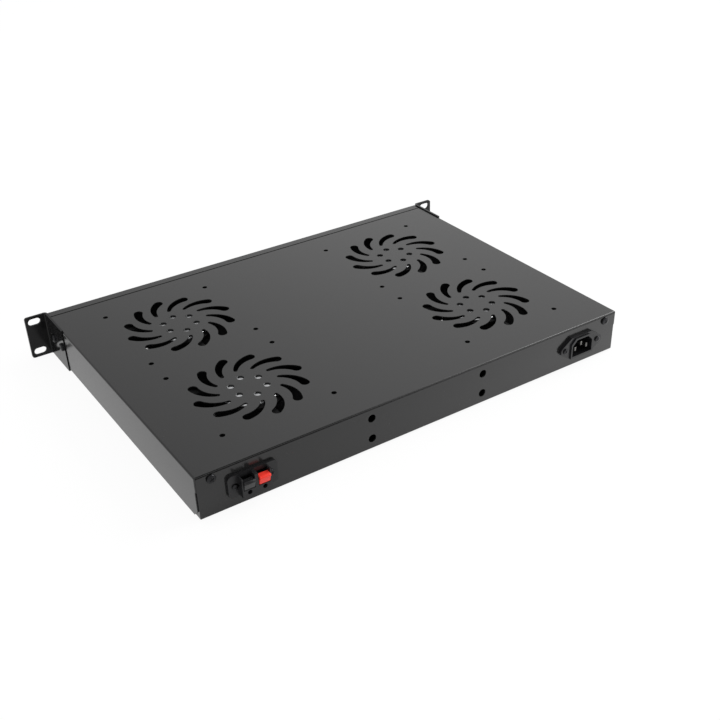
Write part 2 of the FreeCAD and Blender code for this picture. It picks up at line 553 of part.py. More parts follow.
def fasteners():
    case = pan_screw("CaseScrew", "case_head", "case_head_depth", "case_shank", "case_shank_length")
    small = pan_screw("SmallScrew", "small_head", "small_head_depth", "small_shank", "small_shank_length")
    fan = pan_screw("FanScrew", "fan_head", "fan_head_depth", "fan_shank", "fan_shank_length", False)
    clinch = round_nut("ClinchNut", "(case_shank + 2 * thread_play)", "nut_size", "nut_depth")
    small_nut = round_nut("SmallNut", "(small_shank + 2 * thread_play)", "small_nut_size", "small_nut_depth")
    ears, nuts, rear, tiny, backing, below = [], [], [], [], [], []
    for index, (side, spot) in enumerate((s, p) for s in (-1, 1) for p in ("front", "back")):
        where = dict(y=f"ear_screw_{spot}", z="ear_screw_height", turn=90 * side, axis=(0, 1, 0))
        ears.append(placed(f"EarScrew{index}", None, case, x=f"{side} * ({SHELL} / 2 + ear_gauge)", **where))
        nuts.append(placed(f"EarNut{index}", None, clinch,
                           x=f"{side} * ({SHELL} / 2 - sheet_gauge - nut_depth)", **where))
    level = dict(turn=-90, axis=(1, 0, 0))
    for side in (-1, 1):
        rear.append(placed(f"RearScrew{side + 1}", None, case, x=f"{side} * rear_screw_x", y=REAR,
                           z=f"{TOP} - rear_screw_drop", **level))
    for name, centre, pitch, seat in (("inlet", "inlet_x", "inlet_screw_pitch", "inlet_flange_depth"),
                                      ("clamp", "clamp_x", "clamp_screw_pitch", "clamp_plate_depth")):
        pair = [placed(f"{name.title()}Screw{side + 1}", None, small, x=f"{centre} + {side} * {pitch} / 2",
                       y=f"{REAR} + {seat}", z=MIDDLE, **level) for side in (-1, 1)]
        tiny.append(pair)
        backing += [placed(f"{name.title()}Nut{side + 1}", None, small_nut,
                           x=f"{centre} + {side} * {pitch} / 2",
                           y=f"{REAR} - sheet_gauge - small_nut_depth", z=MIDDLE, **level)
                    for side in (-1, 1)]
    for fan_index, (_, side, row_index) in enumerate(FAN_NAMES):
        x, y = fan_spot(side, row_index)
        for corner, (dx, dy) in enumerate(((-1, -1), (1, -1), (1, 1), (-1, 1))):
            below.append(placed(f"FanScrew{fan_index}{corner}", None, fan, x=f"{x} + {dx} * {FAN_HOLES} / 2",
                                y=f"{y} + {dy} * {FAN_HOLES} / 2", z=BASE, turn=180, axis=(1, 0, 0)))
    group("EarScrews", "ear_bracket_screws", ears)
    group("EarNuts", "ear_bracket_nuts", nuts)
    group("RearScrews", "rear_cover_screws", rear)
    group("InletScrews", "mains_inlet_screws", tiny[0])
    group("ClampScrews", "spring_terminal_screws", tiny[1])
    group("SmallNuts", "rear_panel_nuts", backing)
    group("FanScrews", "fan_mounting_screws", below)


# ---------------------------------------------------------------- fans
def fan_frame():
    """Die-cast housing: two square flanges, a barrel, struts, motor plate, tube and stator."""
    frame = body("FanFrame")
    pad(frame, "FrameBlock", Draft(frame, "FramePlan", "XY_Plane").block("0", "0", "fan_size", "fan_size"),
        "fan_depth")
    rounded(frame, "FrameCorners", "Fillet", "fan_corner", lambda spot, run: abs(run.z) > 0.9)
    waist = Draft(frame, "WaistPlan", "XY_Plane", "fan_depth - fan_flange")
    waist.block("0", "0", "fan_size + fan_rim", "fan_size + fan_rim")
    waist.circle("0", "0", f"{FAN_BORE} + 2 * barrel_gauge")
    pocket(frame, "Waist", waist, "fan_depth - 2 * fan_flange")
    bore = Draft(frame, "BorePlan", "XY_Plane", "fan_depth").circle("0", "0", FAN_BORE)
    pocket(frame, "Bore", bore, "fan_depth")
    corner = f"{FAN_HOLES} / 2"
    hole = Draft(frame, "FrameHolePlan", "XY_Plane", "fan_depth").circle(corner, corner, "fan_hole")
    pattern(frame, "FrameHoles", pocket(frame, "FrameHole", hole, "fan_depth"), [("turn", "4")])
    plate_top = "(fan_depth - motor_drop)"
    reach = f"({FAN_BORE} / 2 + strut_bite - motor_plate / 2 + strut_bite)"
    arm = Draft(frame, "StrutPlan", "XY_Plane", plate_top).block(
        "0", f"motor_plate / 2 - strut_bite + {reach} / 2", "strut_width", reach)
    strut = pad(frame, "Strut", arm, "strut_depth", back=True)
    pattern(frame, "Struts", strut, [("turn", "strut_count")])
    under = f"({plate_top} - motor_plate_depth)"
    tube, iron = "tube_size / 2", "stator_size / 2"
    middle = Draft(frame, "MotorHalf", "XZ_Plane").outline([
        ("0", f"{under} + motor_recess"), ("0", plate_top), ("motor_plate / 2", plate_top),
        ("motor_plate / 2", under), (tube, under), (tube, f"{under} - stator_top"),
        (iron, f"{under} - stator_top"), (iron, f"{under} - stator_top - stator_depth"),
        (tube, f"{under} - stator_top - stator_depth"), (tube, f"{under} - tube_depth"),
        ("bush_size / 2", f"{under} - tube_depth"), ("bush_size / 2", f"{under} + motor_recess")])
    spin(frame, "Motor", middle)
    return frame


def blade_section(rotor, name, reach, half_chord, low, high, bow):
    """A bowed blade section standing at this reach, its low edge leading."""
    draft = Draft(rotor, name, "YZ_Plane", reach)
    sketch, radius, gauge = draft.sketch, number(bow), number("blade_gauge")
    rims = []
    for lift in (0, gauge):
        low_end = Vector(-number(half_chord), number(low) + lift, 0)
        high_end = Vector(number(half_chord), number(high) + lift, 0)
        run = high_end - low_end
        away = (radius ** 2 - (run.Length / 2) ** 2) ** 0.5
        centre = (low_end + high_end) * 0.5 + Vector(-run.y, run.x, 0).normalize() * away
        rims.append(draft.arc(centre, radius, low_end, high_end) + (low_end, high_end))
    (under, first, last, low_a, high_a), (over, start, end, low_b, high_b) = rims
    front = sketch.addGeometry(Part.LineSegment(high_a, high_b))
    rear = sketch.addGeometry(Part.LineSegment(low_b, low_a))
    for refs in ((under, last, front, 1), (front, 2, over, end), (over, start, rear, 1),
                 (rear, 2, under, first)):
        sketch.addConstraint(Sketcher.Constraint("Coincident", *refs))
    for index in (under, over):
        draft.tie("Radius", (index,), bow)
    draft.at(rear, 2, f"-{half_chord}", low)
    draft.at(rear, 1, f"-{half_chord}", f"{low} + blade_gauge")
    draft.at(front, 1, half_chord, high)
    draft.at(front, 2, half_chord, f"{high} + blade_gauge")
    return sketch


def fan_rotor():
    """External-rotor cup with bowed blades lofted from root to tip and trimmed to the bore."""
    rotor = body("FanRotor")
    rim, cup = "hub_size / 2", "hub_size / 2 - hub_wall"
    hole, floor = "shaft_size / 2 + shaft_play", "rotor_base + hub_floor"
    spin(rotor, "HubCup", Draft(rotor, "HubHalf", "XZ_Plane").outline([
        (hole, "rotor_base"), (f"{rim} - hub_wall", "rotor_base"), (rim, "rotor_base + hub_wall"),
        (rim, "rotor_top"), (cup, "rotor_top"), (cup, floor), (hole, floor)]))
    root_reach = "sqrt((hub_size / 2) ^ 2 - root_half_chord ^ 2) - root_bite"
    root = blade_section(rotor, "BladeRoot", root_reach, "root_half_chord", "root_low", "root_high",
                         "root_bow")
    tip = blade_section(rotor, "BladeTip", f"{FAN_BORE} / 2 + root_bite", "tip_half_chord", "tip_low",
                        "tip_high", "tip_bow")
    blade = rotor.newObject("PartDesign::AdditiveLoft", "Blade")
    blade.Profile = root
    blade.Sections = [tip]
    doc.recompute()
    ring = rotor.newObject("PartDesign::PolarPattern", "Blades")
    ring.Originals = [blade]
    ring.Axis = (rotor.Group[0], ["V_Axis"])
    ring.Angle = 360
    ring.setExpression("Occurrences", full("blade_count"))
    rotor.Tip = ring
    doc.recompute()
    reach = f"({FAN_BORE} / 2 - blade_tip_play)"
    spin(rotor, "TipTrim", Draft(rotor, "TrimHalf", "XZ_Plane").outline([
        (reach, "0"), (f"{reach} + tip_half_chord", "0"), (f"{reach} + tip_half_chord", "fan_depth"),
        (reach, "fan_depth")]), "Groove")
    return rotor


def fan_shaft():
    shaft = body("FanShaft")
    radius, floor = "shaft_size / 2", "rotor_base + hub_floor"
    top = "fan_depth - motor_drop - motor_plate_depth - shaft_headroom"
    spin(shaft, "ShaftTurned", Draft(shaft, "ShaftHalf", "XZ_Plane").outline([
        ("0", "rotor_base"), (radius, "rotor_base"), (radius, floor), ("shoulder_size / 2", floor),
        ("shoulder_size / 2", f"{floor} + shoulder_depth"), (radius, f"{floor} + shoulder_depth"),
        (radius, top), ("0", top)]))
    return shaft


def fan_bushes():
    bush = body("FanBush")
    inner, outer = "shaft_size / 2 + shaft_play", "bush_size / 2 - shaft_play"
    spin(bush, "BushTurned", Draft(bush, "BushHalf", "XZ_Plane").outline([
        (inner, "0"), (outer, "0"), (outer, "bush_length"), (inner, "bush_length")]))
    under = "fan_depth - motor_drop - motor_plate_depth"
    low = placed("LowBush", None, bush, z=f"{under} - tube_depth")
    high = placed("HighBush", None, bush, z=f"{under} - bush_length")
    pair = doc.addObject("Part::Compound", "BushPair")
    pair.Links = [low, high]
    return pair


def fans():
    frame, rotor, shaft, bushes = fan_frame(), fan_rotor(), fan_shaft(), fan_bushes()
    for name, side, row_index in FAN_NAMES:
        x, y = fan_spot(side, row_index)
        short = name.title().replace("_", "")
        placed("Frame" + short, "fan_frame_" + name, frame, x=x, y=y, z=DECK)
        placed("Rotor" + short, "fan_rotor_" + name, rotor, x=x, y=y, z=DECK)
        placed("Shaft" + short, "fan_shaft_" + name, shaft, x=x, y=y, z=DECK)
        placed("Bushes" + short, "fan_bearings_" + name, bushes, x=x, y=y, z=DECK)
        disc = doc.addObject("Part::Cylinder", "Label" + short)
        disc.setExpression("Radius", full("label_size / 2"))
        disc.setExpression("Height", full("label_gauge"))
        for letter, formula in zip("xyz", (x, y, f"{DECK} + fan_depth - motor_drop")):
            disc.setExpression(f"Placement.Base.{letter}", full(formula))
        subpart(disc, "fan_hub_disc_" + name)


# ---------------------------------------------------------------- mains inlet
def chamfered(draft, x, z, width, height, corner):
    """A rectangle whose two top corners are cut off."""
    side, top, low = f"({width}) / 2", f"({z}) + ({height}) / 2", f"({z}) - ({height}) / 2"
    return draft.outline([
        (f"{x} - {side}", low), (f"{x} + {side}", low), (f"{x} + {side}", f"{top} - {corner}"),
        (f"{x} + {side} - {corner}", top), (f"{x} - {side} + {corner}", top),
        (f"{x} - {side}", f"{top} - {corner}")])


def mains_inlet():
    inlet = body("MainsInlet", "mains_inlet_body")
    x, half, lobe = "inlet_x", "inlet_half_height", "inlet_lobe"
    reach = "(inlet_screw_pitch / 2 + inlet_lobe)"
    flange = Draft(inlet, "InletFlangePlan", "XZ_Plane", f"-({REAR})").outline([
        (f"{x} - {reach}", f"{MIDDLE} - {lobe} / 2"), (f"{x} - inlet_half_top", f"{MIDDLE} - {half}"),
        (f"{x} + inlet_half_top", f"{MIDDLE} - {half}"), (f"{x} + {reach}", f"{MIDDLE} - {lobe} / 2"),
        (f"{x} + {reach}", f"{MIDDLE} + {lobe} / 2"), (f"{x} + inlet_half_top", f"{MIDDLE} + {half}"),
        (f"{x} - inlet_half_top", f"{MIDDLE} + {half}"), (f"{x} - {reach}", f"{MIDDLE} + {lobe} / 2")])
    pad(inlet, "InletFlange", flange, "inlet_flange_depth", back=True)
    rounded(inlet, "InletLobes", "Fillet", "inlet_lobe_radius", lambda spot, run: abs(run.y) > 0.9 and (
        near(spot.x, f"{x} - {reach}") or near(spot.x, f"{x} + {reach}")))
    rim = Draft(inlet, "InletShellPlan", "XZ_Plane", f"-({REAR} + inlet_rim_depth)")
    chamfered(rim, x, MIDDLE, "inlet_shell_width", "inlet_shell_height", "inlet_cavity_chamfer")
    pad(inlet, "InletShell", rim, "inlet_rim_depth + inlet_shell_depth")
    mouth = Draft(inlet, "InletMouthPlan", "XZ_Plane", f"-({REAR} + inlet_rim_depth)")
    chamfered(mouth, x, MIDDLE, "inlet_cavity_width", "inlet_cavity_height", "inlet_cavity_chamfer")
    pocket(inlet, "InletCavity", mouth, "inlet_cavity_depth", back=True)
    holes = Draft(inlet, "InletHolePlan", "XZ_Plane", f"-({REAR} + inlet_flange_depth)")
    for side in (-1, 1):
        holes.circle(f"{x} + {side} * inlet_screw_pitch / 2", MIDDLE, "small_hole")
    pocket(inlet, "InletHoles", holes, "inlet_flange_depth", back=True)
    slots = Draft(inlet, "PinSlotPlan", "XZ_Plane", f"-({REAR})")
    spots = [(-1, -1), (0, 1), (1, -1)]
    for across, up in spots:
        slots.block(f"{x} + {across} * pin_spread", f"{MIDDLE} + {up} * pin_drop",
                    "pin_gauge + 2 * pin_play", "pin_width + 2 * pin_play")
    pocket(inlet, "PinSlots", slots, "inlet_shell_depth", back=True)
    pin = body("InletPin")
    blade = Draft(pin, "PinPlan", "XZ_Plane", f"-({REAR} + inlet_rim_depth - pin_recess)")
    blade.block("0", "0", "pin_gauge", "pin_width")
    pad(pin, "PinBar", blade, "inlet_rim_depth - pin_recess + inlet_shell_depth + pin_tail")
    rounded(pin, "PinTip", "Chamfer", "pin_gauge / 4", lambda spot, run: abs(run.y) < 0.1
            and near(spot.y, f"{REAR} + inlet_rim_depth - pin_recess"))
    pins = [placed(f"InletPin{across + 1}", None, pin, x=f"{x} + {across} * pin_spread",
                   z=f"{MIDDLE} + {up} * pin_drop") for across, up in spots]
    group("InletPins", "mains_inlet_pins", pins)


# ---------------------------------------------------------------- spring terminal
def spring_terminal():
    clamp = body("SpringTerminal", "spring_terminal_body")
    middle, face = "clamp_x", "(clamp_plate_depth + clamp_block_depth)"
    plate = Draft(clamp, "ClampPlatePlan", "XZ_Plane", f"-({REAR})")
    pad(clamp, "ClampPlate", plate.block(middle, MIDDLE, "clamp_plate_width", "clamp_plate_height"),
        "clamp_plate_depth", back=True)
    rounded(clamp, "ClampCorners", "Fillet", "clamp_corner", lambda spot, run: abs(run.y) > 0.9)
    block = Draft(clamp, "ClampBlockPlan", "XZ_Plane", f"-({REAR} + {face})")
    pad(clamp, "ClampBlock", block.block(middle, MIDDLE, "clamp_block_width", "clamp_block_height"), face)
    back = Draft(clamp, "ClampBackPlan", "XZ_Plane", f"-({REAR})")
    pad(clamp, "ClampBack", back.block(middle, MIDDLE, "clamp_back_width", "clamp_back_height"),
        "clamp_back_depth")
    floor = f"({MIDDLE} - clamp_pocket_drop)"
    roof = f"({MIDDLE} + clamp_block_height / 2)"
    mouths = Draft(clamp, "LeverMouthPlan", "XZ_Plane", f"-({REAR} + {face})")
    wells = Draft(clamp, "LeverWellPlan", "XZ_Plane", f"-({REAR} + clamp_plate_depth)")
    wires = Draft(clamp, "WireHolePlan", "XZ_Plane", f"-({REAR} + {face})")
    tails = Draft(clamp, "TailSlotPlan", "XZ_Plane", f"-({REAR} - clamp_back_depth)")
    for side in (-1, 1):
        spot = f"{middle} + {side} * clamp_pitch / 2"
        mouths.block(spot, f"({floor} + {roof}) / 2", "clamp_pocket_width", f"{roof} - {floor}")
        wells.block(spot, f"{floor} + clamp_well_height / 2", "clamp_pocket_width", "clamp_well_height")
        wires.circle(spot, f"{MIDDLE} - clamp_wire_drop", "clamp_wire_hole")
        tails.block(spot, f"{MIDDLE} - clamp_wire_drop", "contact_width", "contact_gauge")
    pocket(clamp, "LeverMouths", mouths, "clamp_block_depth", back=True)
    pocket(clamp, "LeverWells", wells, "clamp_well_depth", back=True)
    pocket(clamp, "WireHoles", wires, "clamp_wire_depth", back=True)
    pocket(clamp, "TailSlots", tails, f"{face} + clamp_back_depth - clamp_wire_depth")
    holes = Draft(clamp, "ClampHolePlan", "XZ_Plane", f"-({REAR} + clamp_plate_depth)")
    for side in (-1, 1):
        holes.circle(f"{middle} + {side} * clamp_screw_pitch / 2", MIDDLE, "small_hole")
    pocket(clamp, "ClampHoles", holes, "clamp_plate_depth", back=True)
    pivot_y, pivot_z = f"{REAR} + lever_pin_y", f"{MIDDLE} + lever_pin_z"
    bore = Draft(clamp, "LeverBorePlan", "YZ_Plane", f"{middle} - clamp_block_width / 2")
    bore.circle(pivot_y, pivot_z, "lever_pin + 2 * lever_pin_play")
    pocket(clamp, "LeverBore", bore, "clamp_block_width", back=True)
    lever = body("ClampLever")
    width = "(clamp_pocket_width - 2 * lever_play)"
    low, high = "(lever_play - clamp_pocket_drop + lever_lift)", "(clamp_block_height / 2 - lever_lower)"
    near_y, far_y = "(clamp_plate_depth + lever_back)", f"({face} + lever_proud)"
    profile = Draft(lever, "LeverSide", "YZ_Plane").outline([
        (near_y, low), (f"{face} - lever_toe", low), (far_y, f"{high} - lever_lip"), (far_y, high),
        (f"{near_y} + lever_slope", high), (near_y, f"{high} - lever_slope")])
    pad(lever, "LeverBlock", profile, width, both=True)
    pin = Draft(lever, "LeverPinPlan", "YZ_Plane").circle("lever_pin_y", "lever_pin_z", "lever_pin")
    pad(lever, "LeverPin", pin, f"{width} + 2 * lever_pin_bite", both=True)
    for colour, side in (("red", -1), ("black", 1)):
        placed("Lever" + colour.title(), "spring_terminal_lever_" + colour, lever,
               x=f"{middle} + {side} * clamp_pitch / 2", y=REAR, z=MIDDLE)
    leaf = body("ClampContact")
    blade = Draft(leaf, "ContactPlan", "XZ_Plane", f"-({REAR} + {face} - clamp_wire_depth)")
    blade.block("0", f"{MIDDLE} - clamp_wire_drop", "contact_width", "contact_gauge")
    pad(leaf, "ContactBlade", blade, f"clamp_back_depth + {face} - clamp_wire_depth + contact_tail")
    group("ClampContacts", "spring_terminal_contacts", [
        placed(f"Contact{side + 1}", None, leaf, x=f"{middle} + {side} * clamp_pitch / 2")
        for side in (-1, 1)])


# ---------------------------------------------------------------- thermostat
def thermostat():
    case = body("Thermostat", "thermostat_case")
    x = "gauge_x"
    rim = Draft(case, "GaugeRimPlan", "XZ_Plane", "ear_gauge").block(x, MIDDLE, "gauge_width", "gauge_height")
    pad(case, "GaugeRim", rim, "gauge_rim")
    rounded(case, "GaugeCorners", "Fillet", "gauge_corner", lambda spot, run: abs(run.y) > 0.9)
    box = Draft(case, "GaugeCasePlan", "XZ_Plane", "ear_gauge")
    box.block(x, MIDDLE, "gauge_case_width", "gauge_case_height")
    pad(case, "GaugeCase", box, "gauge_case_depth", back=True)
    glass = Draft(case, "WindowPlan", "XZ_Plane", "ear_gauge + gauge_rim")
    glass.block(f"{x} + window_shift", MIDDLE, "window_width", "window_height")
    pocket(case, "WindowSeat", glass, "window_depth")
    wells = Draft(case, "KeyWellPlan", "XZ_Plane", "ear_gauge + gauge_rim")
    spots = [("up", -1, 1), ("set", 1, 1), ("down", -1, -1), ("power", 1, -1)]
    for _, across, up in spots:
        wells.block(f"{x} + key_shift + {across} * key_pitch_x / 2", f"{MIDDLE} + {up} * key_pitch_z / 2",
                    "key_width + 2 * key_play", "key_height + 2 * key_play")
    pocket(case, "KeyWells", wells, "key_pocket")
    pane = body("ThermostatWindow", "thermostat_window")
    sheet_plan = Draft(pane, "PanePlan", "XZ_Plane", "ear_gauge + gauge_rim - window_sink")
    sheet_plan.block(f"{x} + window_shift", MIDDLE, "window_width - 2 * window_play",
                     "window_height - 2 * window_play")
    pad(pane, "Pane", sheet_plan, "window_depth - window_sink", back=True)
    key = body("ThermostatKey")
    cap = Draft(key, "KeyPlan", "XZ_Plane", "ear_gauge + gauge_rim + key_proud")
    cap.block("0", "0", "key_width", "key_height")
    pad(key, "KeyCap", cap, "key_proud + key_pocket - key_travel - key_play", back=True)
    rounded(key, "KeyEdges", "Fillet", "key_corner", lambda spot, run: abs(run.y) > 0.9)
    for name, across, up in spots:
        placed("Key" + name.title(), "thermostat_key_" + name, key,
               x=f"{x} + key_shift + {across} * key_pitch_x / 2", z=f"{MIDDLE} + {up} * key_pitch_z / 2")
    clip = body("PanelClip")
    seat = f"{FRONT} + sheet_gauge"
    bar = Draft(clip, "ClipSide", "YZ_Plane").outline([
        (seat, "-gauge_clip_height / 2"), (f"{seat} + gauge_clip_length", "-gauge_clip_height / 3"),
        (f"{seat} + gauge_clip_length", "gauge_clip_height / 3"), (seat, "gauge_clip_height / 2")])
    pad(clip, "ClipBar", bar, "gauge_clip_gauge", both=True)
    group("PanelClips", "thermostat_clips", [
        placed(f"Clip{side + 1}", None, clip, z=MIDDLE,
               x=f"{x} + {side} * (gauge_case_width + gauge_clip_gauge) / 2") for side in (-1, 1)])


# ---------------------------------------------------------------- mains switch
def mains_switch():
    case = body("MainsSwitch", "mains_switch_case")
    x = "switch_x"
    rim = Draft(case, "SwitchRimPlan", "XZ_Plane", "ear_gauge")
    rim.block(x, MIDDLE, "switch_width", "switch_height")
    pad(case, "SwitchRim", rim, "switch_rim")
    rounded(case, "SwitchCorners", "Fillet", "switch_corner", lambda spot, run: abs(run.y) > 0.9)
    box = Draft(case, "SwitchCasePlan", "XZ_Plane", "ear_gauge")
    box.block(x, MIDDLE, "switch_case_width", "switch_case_height")
    pad(case, "SwitchCase", box, "switch_case_depth", back=True)
    well = Draft(case, "RockerWellPlan", "XZ_Plane", "ear_gauge + switch_rim")
    well.block(x, MIDDLE, "switch_pocket_width", "switch_pocket_height")
    pocket(case, "RockerWell", well, "switch_pocket_depth")
    pivot = "(rocker_pin_inset - switch_rim - ear_gauge)"
    bore = Draft(case, "RockerBorePlan", "XY_Plane",
                 f"{MIDDLE} + switch_pocket_height / 2 + rocker_pin_bite + rocker_play")
    bore.circle(x, pivot, "rocker_pin + 2 * rocker_pin_play")
    pocket(case, "RockerBore", bore, "switch_pocket_height + 2 * rocker_pin_bite + 2 * rocker_play")
    rocker = body("Rocker", "mains_switch_rocker")
    half, front = "(switch_pocket_width / 2 - rocker_end_play)", "(rocker_pin_inset + rocker_proud)"
    height = "(switch_pocket_height - 2 * rocker_play)"
    plan = Draft(rocker, "RockerPlan", "XY_Plane", f"-{height} / 2").outline([
        (f"-{half}", "-rocker_pin_inset"), (f"-{half} + rocker_play", f"-{front}"),
        ("0", f"-{front} + rocker_valley"), (f"{half} - rocker_play", f"-{front}"),
        (half, "-rocker_pin_inset"), (f"{half} * rocker_foot", "rocker_pin_inset"),
        (f"-{half} * rocker_foot", "rocker_pin_inset")])
    pad(rocker, "RockerBlock", plan, height)
    pin = Draft(rocker, "RockerPinPlan", "XY_Plane", f"-({height} / 2 + rocker_pin_bite)")
    pad(rocker, "RockerPin", pin.circle("0", "0", "rocker_pin"), f"{height} + 2 * rocker_pin_bite")
    rocker.setExpression("Placement.Base.x", full(x))
    rocker.setExpression("Placement.Base.y", full(pivot))
    rocker.setExpression("Placement.Base.z", full(MIDDLE))
    rocker.setExpression("Placement.Rotation.Angle", full("rocker_tilt * 1 deg"))
    tab = body("SwitchTab")
    blade = Draft(tab, "SwitchTabPlan", "XZ_Plane", "ear_gauge - switch_case_depth")
    pad(tab, "SwitchTabBlade", blade.block("0", "0", "blade_tab_gauge", "blade_tab_width"),
        "blade_tab_length", back=True)
    group("SwitchTabs", "mains_switch_tabs", [
        placed(f"Tab{side + 1}", None, tab, x=f"{x} + {side} * switch_tab_pitch / 2", z=MIDDLE)
        for side in (-1, 1)])


def write_parts():
    """Stop on any feature that failed, then write each piece to its own file."""
    doc.recompute()
    for thing in doc.Objects:
        if {"Invalid", "Error"} & set(thing.State):
            raise RuntimeError(f"{thing.Name} failed: {thing.State}")
    os.makedirs("parts", exist_ok=True)
    for thing in SUBPARTS:
        shape = thing.Shape
        if shape.isNull() or not shape.isValid() or not shape.Solids:
            raise RuntimeError(f"{thing.Label} has no sound shape")
        shape.exportStep(f"parts/{thing.Label}.step")
        print(f"{thing.Label}: {len(shape.Solids)} solids, {shape.Volume / 1000:.2f} cm3")


chassis_tray()
top_cover()
ear_bracket()
fasteners()
fans()
mains_inlet()
spring_terminal()
thermostat()
mains_switch()
write_parts()
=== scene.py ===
"""Looks of the rack fan tray.

A finish for every node; finer screws, levers, rocker, keys and hub foils; marks on the front; floor,
light and camera. Metres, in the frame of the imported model: the front faces -Y, the rear +Y, +Z is up.
"""
import json
import math

import bmesh
import bpy
import numpy as np
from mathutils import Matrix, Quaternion, Vector


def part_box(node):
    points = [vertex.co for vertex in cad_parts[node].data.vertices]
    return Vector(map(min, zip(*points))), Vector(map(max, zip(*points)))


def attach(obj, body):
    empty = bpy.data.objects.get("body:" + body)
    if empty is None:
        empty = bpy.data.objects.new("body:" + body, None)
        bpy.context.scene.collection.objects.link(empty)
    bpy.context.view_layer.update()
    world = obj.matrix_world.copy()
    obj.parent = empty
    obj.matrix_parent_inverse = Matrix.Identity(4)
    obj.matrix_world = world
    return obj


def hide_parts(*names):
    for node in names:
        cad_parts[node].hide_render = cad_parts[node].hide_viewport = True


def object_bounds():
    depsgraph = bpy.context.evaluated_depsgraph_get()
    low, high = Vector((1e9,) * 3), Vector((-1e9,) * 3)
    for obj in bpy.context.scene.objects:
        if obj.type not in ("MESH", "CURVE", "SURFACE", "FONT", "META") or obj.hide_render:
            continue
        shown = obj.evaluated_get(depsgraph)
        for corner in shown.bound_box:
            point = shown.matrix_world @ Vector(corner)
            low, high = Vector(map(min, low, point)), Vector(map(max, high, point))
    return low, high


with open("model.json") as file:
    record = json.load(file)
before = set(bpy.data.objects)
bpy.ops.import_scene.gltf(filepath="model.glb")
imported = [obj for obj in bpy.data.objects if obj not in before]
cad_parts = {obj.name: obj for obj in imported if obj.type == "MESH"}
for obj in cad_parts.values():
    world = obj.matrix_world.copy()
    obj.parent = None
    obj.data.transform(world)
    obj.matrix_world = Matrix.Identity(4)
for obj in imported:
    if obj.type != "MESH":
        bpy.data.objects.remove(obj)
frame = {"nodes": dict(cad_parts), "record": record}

cad_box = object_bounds()
MM = 0.001
FULL_TURN = 2 * math.pi
KEYS = ("up", "set", "down", "power")
MARK_THICKNESS = 0.05 * MM
WELD_DISTANCE = 0.0001 * MM
SHARP_EDGE = math.radians(38)


# ---------------------------------------------------------------- shader sums

class Signal:
    """An output socket that takes part in Python sums, each of which adds a Math node."""

    def __init__(self, nodes, socket):
        self.nodes, self.socket = nodes, socket

    def sum(self, operation, *others):
        values = dict(enumerate((self,) + others))
        return self.nodes.node("Math", {"operation": operation}, values)

    def __add__(self, other): return self.sum("ADD", other)
    def __sub__(self, other): return self.sum("SUBTRACT", other)
    def __mul__(self, other): return self.sum("MULTIPLY", other)
    def __neg__(self): return self.sum("MULTIPLY", -1.0)
    def __rsub__(self, other): return (-self).sum("ADD", other)
    __radd__, __rmul__ = __add__, __mul__

    def most(self, other): return self.sum("MAXIMUM", other)


class Nodes:
    """A node tree that takes its nodes from one method and its sums from Signal."""

    def __init__(self, tree):
        self.tree = tree

    def node(self, kind, settings=None, values=None, output=0):
        """One node, its settings first and then its sockets' values or links; gives one output."""
        made = self.tree.nodes.new("ShaderNode" + kind)
        for name, setting in (settings or {}).items():
            setattr(made, name, setting)
        for name, value in (values or {}).items():
            self.feed(made.inputs[name], value)
        return Signal(self, made.outputs[output])

    def feed(self, socket, value):
        if isinstance(value, Signal):
            self.tree.links.new(value.socket, socket)
        else:
            socket.default_value = value

    def parts(self, vector):
        """The x, y and z of a vector."""
        split = self.node("SeparateXYZ", None, {0: vector}).socket.node
        return [Signal(self, socket) for socket in split.outputs]

    def between(self, signal, low, high, first=0.0, last=1.0):
        """A smooth step from first, where the signal is under low, to last, where it is over high."""
        values = {"Value": signal, "From Min": low, "From Max": high, "To Min": first, "To Max": last}
        return self.node("MapRange", {"interpolation_type": "SMOOTHSTEP"}, values)

    def ray(self, kind):
        return self.node("LightPath", output=f"Is {kind} Ray")


class Finish(Nodes):
    """A material being made: its node tree, its shader, and the object's own coordinates."""

    def __init__(self, name, colour, roughness, **constants):
        self.material = bpy.data.materials.new(name)
        self.material.use_nodes = True
        super().__init__(self.material.node_tree)
        self.shader = self.tree.nodes["Principled BSDF"]
        self.set("Base Color", (*colour, 1.0))
        self.set("Roughness", roughness)
        for socket, value in constants.items():
            self.set(socket.replace("_", " "), value)
        self.place = self.node("TexCoord", output="Object")

    def set(self, socket, value):
        self.feed(self.shader.inputs[socket], value)

    def noise(self, cells_per_metre, detail=2.0, roughness=0.5, stretch=None):
        """Noise between 0 and 1, with that many cells to the metre, stretched if asked."""
        place = self.place
        if stretch:
            place = self.node("Mapping", None, {"Vector": place, "Scale": stretch})
        values = {"Vector": place, "Scale": cells_per_metre, "Detail": detail, "Roughness": roughness}
        return self.node("TexNoise", None, values)

    def mixed(self, factor, first, second):
        """One colour passing into another as the factor goes from 0 to 1."""
        values = {0: factor, 6: (*first, 1.0), 7: (*second, 1.0)}
        return self.node("Mix", {"data_type": "RGBA"}, values, output=2)

    def relief(self, height, distance, strength=1.0):
        """Bump from a height between 0 and 1 that stands for that many metres."""
        values = {"Height": height, "Distance": distance, "Strength": strength}
        self.set("Normal", self.node("Bump", None, values))


